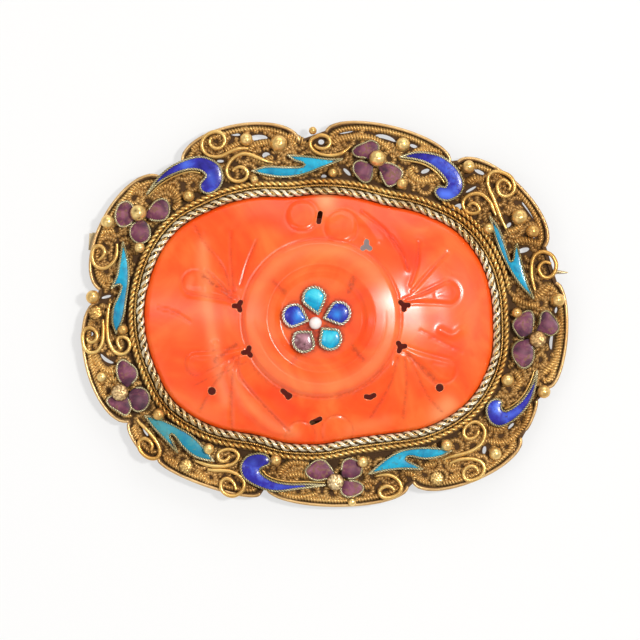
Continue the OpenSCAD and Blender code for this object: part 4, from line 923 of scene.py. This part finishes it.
pearl_look = pearl_material()


# ---- coral ----

def dome(r, share):
    """Height of the uncarved coral at a radius that is such a share of the way to its edge."""
    top = EDGE_Z + (CROWN_Z - EDGE_Z) * (1 - share * share)
    ring = between(r, *RING_INNER) * (1 - between(r, *RING_OUTER))
    return top + RELIEF * ring + (BASIN_Z - top) * (1 - between(r, *BASIN_SLOPE))


def groove(points, line, width, steps=5):
    """1 on a line, falling off to both sides."""
    return hump(reach(points, smooth(line, steps) if len(line) > 2 else line), width)


def patches(points, rows):
    """The strength of coloured places: each row is a line, its width and its strength."""
    out = np.zeros(len(points))
    for line, width, strength in rows:
        out = np.maximum(out, strength * groove(points, line, width, 4))
    return out


def carving(points, r):
    """Height and darkness that the carving adds to the dome, at points that lie at the radii r. The darkness
    is painted shade in the cut lines, painted shade and grime round the petals, and the tool's dark marks.
    """
    height = np.zeros(len(points))
    dark = patches(points, STIPPLES)
    for line in GROOVES:
        g = groove(points, line, GROOVE_CUT[1])
        height += GROOVE_BANK[0] * groove(points, line, GROOVE_BANK[1]) - GROOVE_CUT[0] * g
        dark = np.maximum(dark, LINE_DARK * g)
    for line in RIDGES:
        height += RIDGE_RISE[0] * groove(points, line, RIDGE_RISE[1])
    for line in CRACKS:
        g = groove(points, line, CRACK_CUT[1])
        height -= CRACK_CUT[0] * g
        dark = np.maximum(dark, LINE_DARK * g)
    for a, b in FINGERS:
        d = capsule(points, a, b, 0.25, FINGER_R)
        height += 0.14 * (1 - between(d, -0.5, 0.12)) - 0.07 * hump(d - 0.12, 0.18)
        nail = capsule(points, 0.25 * a + 0.75 * b, b, 0.3, FINGER_R - 0.55)
        height -= 0.04 * hump(nail, 0.18)
        dark = np.maximum(dark, 0.3 * hump(d - 0.12, 0.12) + 0.12 * hump(nail, 0.12))
    for x, y, size, rise in ROUND_PETALS:
        d = np.linalg.norm(points - np.array([x, y]), axis=1) - size
        height += rise * (1 - between(d, -0.55, 0.1)) - 0.08 * hump(d - 0.1, 0.15)
        dark = np.maximum(dark, 0.25 * hump(d - 0.1, 0.12))
    for radius, width, depth, shade in RING_LINES:
        g = hump(r - radius, width)
        height -= depth * g
        dark = np.maximum(dark, shade * g)
    # Painted shade and grime on the coral round the centre petals
    for c, _ in CENTRE_PETALS:
        d = np.maximum(np.linalg.norm(points - c, axis=1) - CENTRE_PETAL_R - 0.15, 0)
        dark = np.maximum(dark, 0.8 * hump(d, 0.42))
    radius, width, depth = LOW_LINE
    low = between((CORAL_MIDDLE[1] - points[:, 1]) / r, -0.2, 0.7)
    height -= depth * low * hump(r - radius, width)
    return height, dark


def make_coral():
    """The coral in rings of points, from its middle to the edge and back along its hollow underside."""
    angles, rings, inner_r, inner_share = 448, 150, 9.9, 0.52
    a = np.arange(angles) * 360 / angles
    w = np.radians(a)
    edge = coral_radius(a)

    def around(radius):
        return vec(CORAL_MIDDLE) + np.stack([radius * np.cos(w), radius * np.sin(w)], axis=-1)

    t = np.linspace(0, 1, rings + 1)[1:, None]
    r = np.where(t < inner_share, t / inner_share * inner_r,
                 inner_r + (t - inner_share) / (1 - inner_share) * (edge - inner_r))
    points = around(r).reshape(-1, 2)
    share = (r / edge).ravel()
    r = r.ravel()
    added, dark = carving(points, r)
    fade = 1 - between(share, 0.93, 1.0)
    wave = np.sin(r * 1.7 + 3 * np.tile(np.sin(w), rings)) * between(r, 9.5, 11)
    z = dome(r, share) + fade * (added + 0.012 * wave) - 0.28 * between(share, 0.965, 1.0) ** 2
    side = [(1.0, EDGE_Z - 0.35), (0.995, DECK_Z + 0.05), (0.97, DECK_Z), (HOLLOW_SHARE, DECK_Z)]
    hollow = [(f, DECK_Z + (HOLLOW_Z - DECK_Z) * (1 - (f / HOLLOW_SHARE) ** 2)) for f in (0.6, 0.3)]
    under = [lifted(around(f * edge), height) for f, height in side + hollow]
    verts = np.vstack([lifted(points, z)] + under + [lifted([CORAL_MIDDLE] * 2, [BASIN_Z, HOLLOW_Z])])
    rows = rings + len(under)
    n = rows * angles
    k = np.arange(angles)
    cap = np.stack([np.full(angles, n), k, (k + 1) % angles], axis=-1)
    last = n - angles
    foot = np.stack([np.full(angles, n + 1), last + (k + 1) % angles, last + k], axis=-1)
    tone, deep, accent = np.ones(len(verts)), np.zeros(len(verts)), np.zeros(len(verts))
    # Painted shade and dark marks of the carving, the deeper colour, and the painted highlights
    tone[:len(points)] = np.clip(1 - dark, 0, 1)
    deep[:len(points)] = patches(points, DEEP_PATCHES)
    accent[:len(points)] = np.maximum(patches(points, PAINTED_HIGHLIGHTS), SHOULDER_HIGHLIGHT * hump(r - SHOULDER_R, 1.0))
    pile = Pile()
    pile.add(verts, [grid_faces(rows, angles, False, True), cap, foot], tone=tone, deep=deep, accent=accent)
    pierce(pile.build("carved_coral", [coral_look], "coral", ["coral_plaque"]))


def pierce(coral):
    """Cuts the holes right through the coral."""
    pile = Pile()
    for x, y, arms in HOLES:
        outline = hole_outline(x, y, arms)
        m = len(outline)
        q = np.arange(m)
        walls = np.stack([q, (q + 1) % m, (q + 1) % m + m, q + m], axis=-1)
        pile.add(np.vstack([lifted(outline, 0.0), lifted(outline, 9.0)]),
                 [walls, q[::-1][None, :], (q + m)[None, :]])
    mesh = bpy.data.meshes.new("holes")
    mesh.from_pydata((np.vstack(pile.verts) * MM).tolist(), [], pile.faces)
    cutter = shown("holes", mesh)
    cut = coral.modifiers.new("holes", "BOOLEAN")
    cut.operation, cut.solver, cut.object = "DIFFERENCE", "MANIFOLD", cutter
    bpy.context.view_layer.update()
    done = bpy.data.meshes.new_from_object(coral.evaluated_get(bpy.context.evaluated_depsgraph_get()))
    coral.modifiers.clear()
    whole = coral.data
    coral.data = done
    bpy.data.meshes.remove(whole)
    bpy.data.objects.remove(cutter)
    bpy.data.meshes.remove(mesh)
    done.polygons.foreach_set("use_smooth", [True] * len(done.polygons))


def hole_outline(x, y, arms):
    """The outline of a pierced hole: round, or the union of short arms."""
    count = 36
    a = 2 * np.pi * np.arange(count) / count
    ways = np.stack([np.cos(a), np.sin(a)], axis=-1)
    if not arms:
        return np.array([x, y]) + HOLE_R * ways
    arms = [vec([math.cos(math.radians(arm)), math.sin(math.radians(arm))]) for arm in arms]
    centre = vec([0, 0])
    for arm in arms:
        centre = centre + 0.12 * arm
    far = np.full(count, 0.26)
    for arm in arms:
        end = HOLE_ARM * arm - centre / 3
        for c in np.linspace(0, 1, 9)[:, None] * end:
            along = ways @ c
            gap = HOLE_ARM_R ** 2 - (c @ c - along ** 2)
            hit = np.where(gap > 0, along + np.sqrt(np.maximum(gap, 0)), 0)
            far = np.maximum(far, hit)
    return np.array([x, y]) + centre / 3 + far[:, None] * ways


make_coral()


# ---- border ----

rim_inner = np.vstack([lobe_path(lobe, RIM_W + 0.12, 24) for lobe in LOBES])
for node_name, look in (("filigree_border", ground), ("pin_hinge", pin_metal), ("pin_stem", pin_metal),
                        ("pin_catch", pin_metal)):
    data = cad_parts[node_name].data
    data.materials.clear()
    data.materials.append(look)

rim = Pile()
for lobe in LOBES:
    verts, faces = tube(lifted(lobe_path(lobe, 0.15, 60), SEAT_Z - 0.1), 0.19, 8)
    rim.add(verts, faces, tone=0.9)
rim.build("rim_wire", [rim_gold], "gilt_silver")

coils = Pile()
for lobe in LOBES:
    ribbed(coils, lobe_path(lobe, RIM_W + 0.42, 60), GROUND_Z, RIM_COIL)
for points in STRIPS:
    path = smooth(points, 8)
    path = path[inside(path, rim_inner)]
    if len(path) > 3:
        ribbed(coils, path, GROUND_Z + 0.02, STRIP_COIL)
coils.build("coil_strips", [gilt, dim], "dark_gilt", ["ground_coils"])

seat_ring = round_coral(2.05, np.arange(0, 360, 3))
rim_coarse = rim_inner[::4]


def near_border(x, y):
    p = np.array([[x, y]])
    return (inside(p, rim_coarse)[0] or reach(p, rim_coarse, True)[0] < 0.8) and not inside(p, seat_ring)[0]


def in_gap(points, margin=0.2):
    """True for each point in a pierced opening or within a margin round it."""
    hit = np.zeros(len(points), dtype=bool)
    for x, y, half_l, half_w, angle, bend in GAPS:
        half_l, half_w = half_l + margin, half_w + margin
        along = np.array([math.cos(math.radians(angle)), math.sin(math.radians(angle))])
        q = points - np.array([x, y])
        u = q @ along
        v = q @ turned(along) - bend * (1 - (u / half_l) ** 2)
        wide = half_w * np.sqrt(np.clip(1 - (u / half_l) ** 2, 0, 1)) + 0.02
        hit |= (np.abs(u) < half_l) & (np.abs(v) < wide)
    return hit


def runs(keep, least):
    """Start and end of each run of more than so many kept points."""
    marks = np.flatnonzero(np.diff(np.concatenate([[0], keep, [0]])))
    return [(i, j) for i, j in zip(marks[::2], marks[1::2]) if j - i > least]


filler = Pile()
row_step = FILL_STEP * 0.87
for j in range(int(60 / row_step)):
    for i in range(int(76 / FILL_STEP)):
        x = -38 + FILL_STEP * (i + 0.5 * (j % 2)) + rng.uniform(-0.3, 0.3)
        y = -30 + row_step * j + rng.uniform(-0.3, 0.3)
        start, way, size = rng.uniform(0, 360), rng.choice([-1, 1]), rng.uniform(0.85, 1.15)
        if not near_border(x, y):
            continue
        q = np.linspace(0, 1, 40)
        a = np.radians(start + way * 460 * q)
        r = size * FILL_R * (0.32 + 0.75 * q)
        path = np.stack([x + r * np.cos(a), y + r * np.sin(a)], axis=-1)
        keep = inside(path, rim_inner) & ~in_gap(path) & ~inside(path, seat_ring)
        keep &= reach(path, seat_ring, True) > 0.15
        for first, end in runs(keep, 5):
            ribbed(filler, path[first:end], GROUND_Z - 0.02, FILL_COIL)
filler.build("ground_filler", [dim], "dark_gilt")


# ---- setting ----

def rope(pile, row, angles, closed=True):
    away, height, spread, wire, pitch, steps, sides = row
    twist(pile, round_coral(away, angles), DECK_Z + height, spread, wire, pitch, closed, steps, sides)


braid = Pile()
collar_z = SEAT_Z + COLLAR_H + GAP
ring = np.arange(0, 360, 0.5)
uneven = 0.48 + 0.05 * np.sin(np.radians(ring) * 23) + 0.04 * np.sin(np.radians(ring) * 57)
for start in (0.0, 0.11):
    twist(braid, round_coral(uneven, ring), collar_z + 0.42, 0.34, 0.115, 2.1, True, 16, 5, 0.7, start)
plait(braid, round_coral(0.48, ring), collar_z + 0.22, 0.3, 0.08, 0.12, 2.3, part=1)
braid.build("braid_strands", [pale, gilt], "pale_silver", ["silver_braid"])

ropes, outer = Pile(), Pile()
rope(ropes, ROPE, ring)
rope(ropes, THIN_ROPE, ring)
ropes.build("rope_strands", [gold], "gold_wire", ["gold_rope"])
rope(outer, OUTER_ROPE, np.linspace(9, 41, 60), False)
outer.build("outer_rope_strands", [gold], "gold_wire", ["outer_rope"])


# ---- cells ----

def by_size(faces):
    """The faces in one array for each number of corners."""
    out = {}
    for f in faces:
        out.setdefault(len(f), []).append(f)
    return [np.array(rows) for rows in out.values()]


def cell(pile, outline, top, rise, foot=DECK_Z, glow=(), shade=()):
    """Enamel that fills an outline and swells inside its edge, with painted shade near the edge and on its
    walls.
    """
    flat, faces, d = filled(outline, 0.24)
    low = top - 0.06
    pile.add(lifted(flat, low + rise * (1 - np.exp(-d / 0.35))), by_size(faces), tone=np.clip(d / 0.22, 0, 1),
             accent=patches(flat, glow), deep=patches(flat, shade))
    m = len(outline)
    q = np.arange(m)
    pile.add(np.vstack([lifted(outline, low), lifted(outline, foot)]),
             [np.stack([q, q + m, (q + 1) % m + m, (q + 1) % m], axis=-1)], tone=0.0)


def sharp_loop(points, steps, corners):
    """A closed curve that keeps its corners."""
    n = len(points)
    out = []
    for c, after in zip(corners, corners[1:] + corners[:1]):
        run = [points[(c + k) % n] for k in range(((after - c) % n or n) + 1)]
        out += list(smooth(run, steps)[:-1])
    return np.array(out)


def edge_wire(pile, outline, z, wire=0.075, pitch=0.66, spread=0.08, closed=True):
    twist(pile, outline, z, spread, wire, pitch, closed, 8, 4, 0.9)


wire_z = CELL_TOP_Z - CELL_SINK
leaf_edges, comma_edges, flower_edges, centre_edges = Pile(), Pile(), Pile(), Pile()
for i, (points, glow, shade) in enumerate(zip(LEAVES, LEAF_GLOW, LEAF_SHADE), 1):
    outline = sharp_loop(points, 6, LEAF_CORNERS)
    pile = Pile()
    cell(pile, outline, wire_z, 0.1, glow=glow, shade=shade)
    pile.build("leaf_enamel_%d" % i, [dull_turquoise if i == 4 else turquoise], "turquoise_enamel",
               ["leaf_%d" % i])
    edge_wire(leaf_edges, even(outline, 0.1, True)[0], wire_z)
leaf_edges.build("leaf_edges", [edging], "pale_silver")

for i, (points, glow, shade) in enumerate(zip(COMMAS, COMMA_GLOW, COMMA_SHADE), 1):
    outline = even(sharp_loop(points, 6, [0]), 0.16, True)[0]
    pile = Pile()
    cell(pile, outline, wire_z, 0.14, glow=glow, shade=shade)
    pile.build("comma_enamel_%d" % i, [blue], "blue_enamel", ["comma_%d" % i])
    edge_wire(comma_edges, outline, wire_z)
    verts, faces = tube(lifted(beside(even(smooth(points[:6], 6), 0.2)[0], -0.3), DECK_Z + 0.3), 0.13, 7)
    comma_edges.add(verts, faces, part=1)
comma_edges.build("comma_edges", [edging, gold], "pale_silver")

for i, ((_, middle), *petals) in enumerate(FLOWERS, 1):
    pile = Pile()
    for k, petal in enumerate(petals, 2):
        c = np.mean(petal, axis=0)
        outline = sharp_loop([middle + 0.15 * (c - middle)] + list(petal), 5, [0])
        # Each petal lies a little over the one before
        z = wire_z + 0.012 * k
        # Painted highlight in the middle of each petal and painted shade where the petals meet by the bead
        cell(pile, outline, z, 0.08, glow=[([c], 0.5, 0.35)], shade=[([middle], 0.8, 0.4)])
        loop = even(outline, 0.1, True)[0]
        n = len(loop)
        edge_wire(flower_edges, loop[int(n * 0.1): int(n * 0.9)], z, 0.06, 0.5, 0.065, False)
    pile.build("flower_enamel_%d" % i, [purple], "purple_enamel", ["rim_flower_%d" % i])
flower_edges.build("flower_edges", [edging], "pale_silver")

centre_looks = [(turquoise_deep, "turquoise_enamel"), (blue_deep, "blue_enamel"),
                (turquoise_deep, "turquoise_enamel"), (mauve, "purple_enamel"), (blue_deep, "blue_enamel")]
for i, ((c, tip), glow, (look, slot)) in enumerate(zip(CENTRE_PETALS, CENTRE_GLOW, centre_looks), 1):
    long = c - tip
    a = math.atan2(long[1], long[0]) + np.radians(np.arange(-105, 106, 30))
    round_end = c + 0.1 * long + CENTRE_PETAL_R * np.stack([np.cos(a), np.sin(a)], axis=-1)
    outline = sharp_loop([tip - 0.08 * long] + list(round_end), 4, [0])
    pile = Pile()
    cell(pile, outline, CENTRE_Z + CELL_T + CELL_EDGE_H - 0.12, 0.22, BASIN_Z, glow)
    pile.build("centre_enamel_%d" % i, [look], slot, ["centre_petal_%d" % i])
    twist(centre_edges, even(outline, 0.1, True)[0], CENTRE_Z + 0.6, 0.11, 0.1, 0.78, True, 10)
centre_edges.build("centre_edges", [silver], "pale_silver")

pearl = Pile()
grain(pearl, PEARL_MIDDLE[0], PEARL_MIDDLE[1], PEARL_R, CENTRE_Z, 4, 0, 0.75)
pearl.build("seed_pearl", [pearl_look], "pearl", ["centre_pearl"])


# ---- wire scrolls and shot ----

for i, points in enumerate(SCROLLS, 1):
    path = even(smooth(points, 6), 0.12)[0]
    s = np.linspace(0, 1, len(path))
    z = DECK_Z + SCROLL_R + 0.03 + 0.12 * (1 - between(s, 0.0, 0.3)) + 0.03 * np.sin(s * 9)
    r = SCROLL_R * (0.9 + 0.32 * between(s, 0.0, 0.15) - 0.36 * between(s, 0.88, 1.0))
    pile = Pile()
    verts, faces = tube(lifted(path, z), r, 10)
    # Painted light on the wire's upper side and painted shade on its lower side
    side = np.tile(np.sin(2 * np.pi * np.arange(10) / 10), len(path))
    pile.add(verts, faces, tone=np.clip(0.62 + 0.5 * side, 0, 1))
    pile.build("scroll_wire_%d" % i, [gold], "gold_wire", ["scroll_%d" % i])

shot = Pile()
for x, y, r, on_cell in SHOT:
    grain(shot, x, y, r, CELL_TOP_Z if on_cell else DECK_Z, 4 if r > 0.95 else 3, 5)
for x, y in DISCS:
    nugget(shot, x, y, DISC_R, 0.6, DECK_Z)
shot.build("shot_grains", [shot_gold], "gold_wire", ["gold_shot"])
for i, ((x, y), _) in enumerate((row[0] for row in FLOWERS), 1):
    pile = Pile()
    granulated = i >= 3
    if granulated:
        nugget(pile, x, y, BEAD_R + 0.02, 1.0, CELL_TOP_Z)
    else:
        grain(pile, x, y, BEAD_R, CELL_TOP_Z, 4, 9, 0.35)
    pile.build("bead_%d" % i, [nugget_gold if granulated else shot_gold], "gold_wire", ["flower_bead_%d" % i])


# ---- floor, light and camera ----

def white_matt(name):
    m, t, s = tree(name)
    put(s, {"Base Color": tuple(FLOOR_SHADE * c for c in FLOOR_WHITE) + (1,),
            "Emission Color": FLOOR_WHITE + (1,), "Emission Strength": FLOOR_GLOW})
    return m, t, s


def floor():
    """A glowing floor with a painted shadow under the coral, where it glows dim and reddish with painted
    light, and with painted light again behind two of its holes.
    """
    mesh = bpy.data.meshes.new("floor")
    half = FLOOR_HALF
    corners = ((-half, -half), (half, -half), (half, half), (-half, half))
    points = [(x, y, z) for z in (0, -0.02 * MM) for x, y in corners]
    mesh.from_pydata(points, [], [(0, 1, 2, 3), (7, 6, 5, 4)])
    top, t, s = white_matt("floor")
    place = node(t, "ShaderNodeTexCoord").outputs["Object"]
    oval = node(t, "ShaderNodeMapping", vector_type="TEXTURE")
    put(oval, {"Location": (CORAL_MIDDLE[0] * MM, CORAL_MIDDLE[1] * MM, 0),
               "Scale": (DIM_OVAL[0] * MM, DIM_OVAL[1] * MM, 1)})
    t.links.new(place, oval.inputs["Vector"])
    away = node(t, "ShaderNodeVectorMath", operation="LENGTH")
    t.links.new(oval.outputs["Vector"], away.inputs[0])
    total = span(t, away.outputs["Value"], *DIM_EDGE, UNDER_GLOW, FLOOR_GLOW)
    for x, y, r, strength in LIT_HOLES:
        away = node(t, "ShaderNodeVectorMath", operation="DISTANCE")
        t.links.new(place, away.inputs[0])
        away.inputs[1].default_value = (x * MM, y * MM, 0)
        spot = span(t, away.outputs["Value"], 1.25 * r * MM, 0.75 * r * MM, 0.0, strength)
        total = math_node(t, "ADD", total, spot)
    t.links.new(total, s.inputs["Emission Strength"])
    t.links.new(mixed(t, span(t, total, UNDER_GLOW, 4 * UNDER_GLOW), UNDER_RED, FLOOR_WHITE),
                s.inputs["Emission Color"])
    put(s, {"Roughness": 0.9, "Specular IOR Level": 0.1})
    mesh.materials.append(top)
    mesh.materials.append(white_matt("floor_back")[0])
    mesh.polygons[1].material_index = 1
    shown("floor", mesh)


def softbox(name, azimuth, tilt, distance, wide, high, power):
    """A light that looks at the brooch from so many degrees off its axis, to the side given by azimuth."""
    light = bpy.data.lights.new(name, "AREA")
    light.shape = "RECTANGLE"
    light.size, light.size_y, light.energy = wide, high, power
    a, e = math.radians(azimuth), math.radians(tilt)
    way = Vector((math.cos(a) * math.sin(e), math.sin(a) * math.sin(e), math.cos(e)))
    o = shown(name, light)
    o.location = way * distance
    o.rotation_mode = "QUATERNION"
    o.rotation_quaternion = way.to_track_quat("Z", "Y")


floor()
for row in LIGHTS:
    softbox(*row)
world = bpy.data.worlds.new("studio")
world.use_nodes = True
put(world.node_tree.nodes["Background"], {"Color": (1.0, 0.99, 0.98, 1), "Strength": WORLD})
scene = bpy.context.scene
scene.world = world
scene.view_settings.view_transform = "Standard"
scene.view_settings.look = "None"
scene.view_settings.exposure = 0.0

# The photo's width and middle in millimetres, and the camera's distance in metres from a height of 3 mm
PHOTO_WIDTH = 76.8
PHOTO_MIDDLE = (-0.54, -0.78)
CAMERA_AWAY = 1.2
cam = bpy.data.cameras.new("camera")
cam.sensor_width = 36.0
cam.lens = cam.sensor_width * (CAMERA_AWAY / MM) / PHOTO_WIDTH
cam.clip_start, cam.clip_end = 0.05, 20.0
camera = shown("camera", cam)
camera.location = (PHOTO_MIDDLE[0] * MM, PHOTO_MIDDLE[1] * MM, CAMERA_AWAY + 3 * MM)
scene.camera = camera
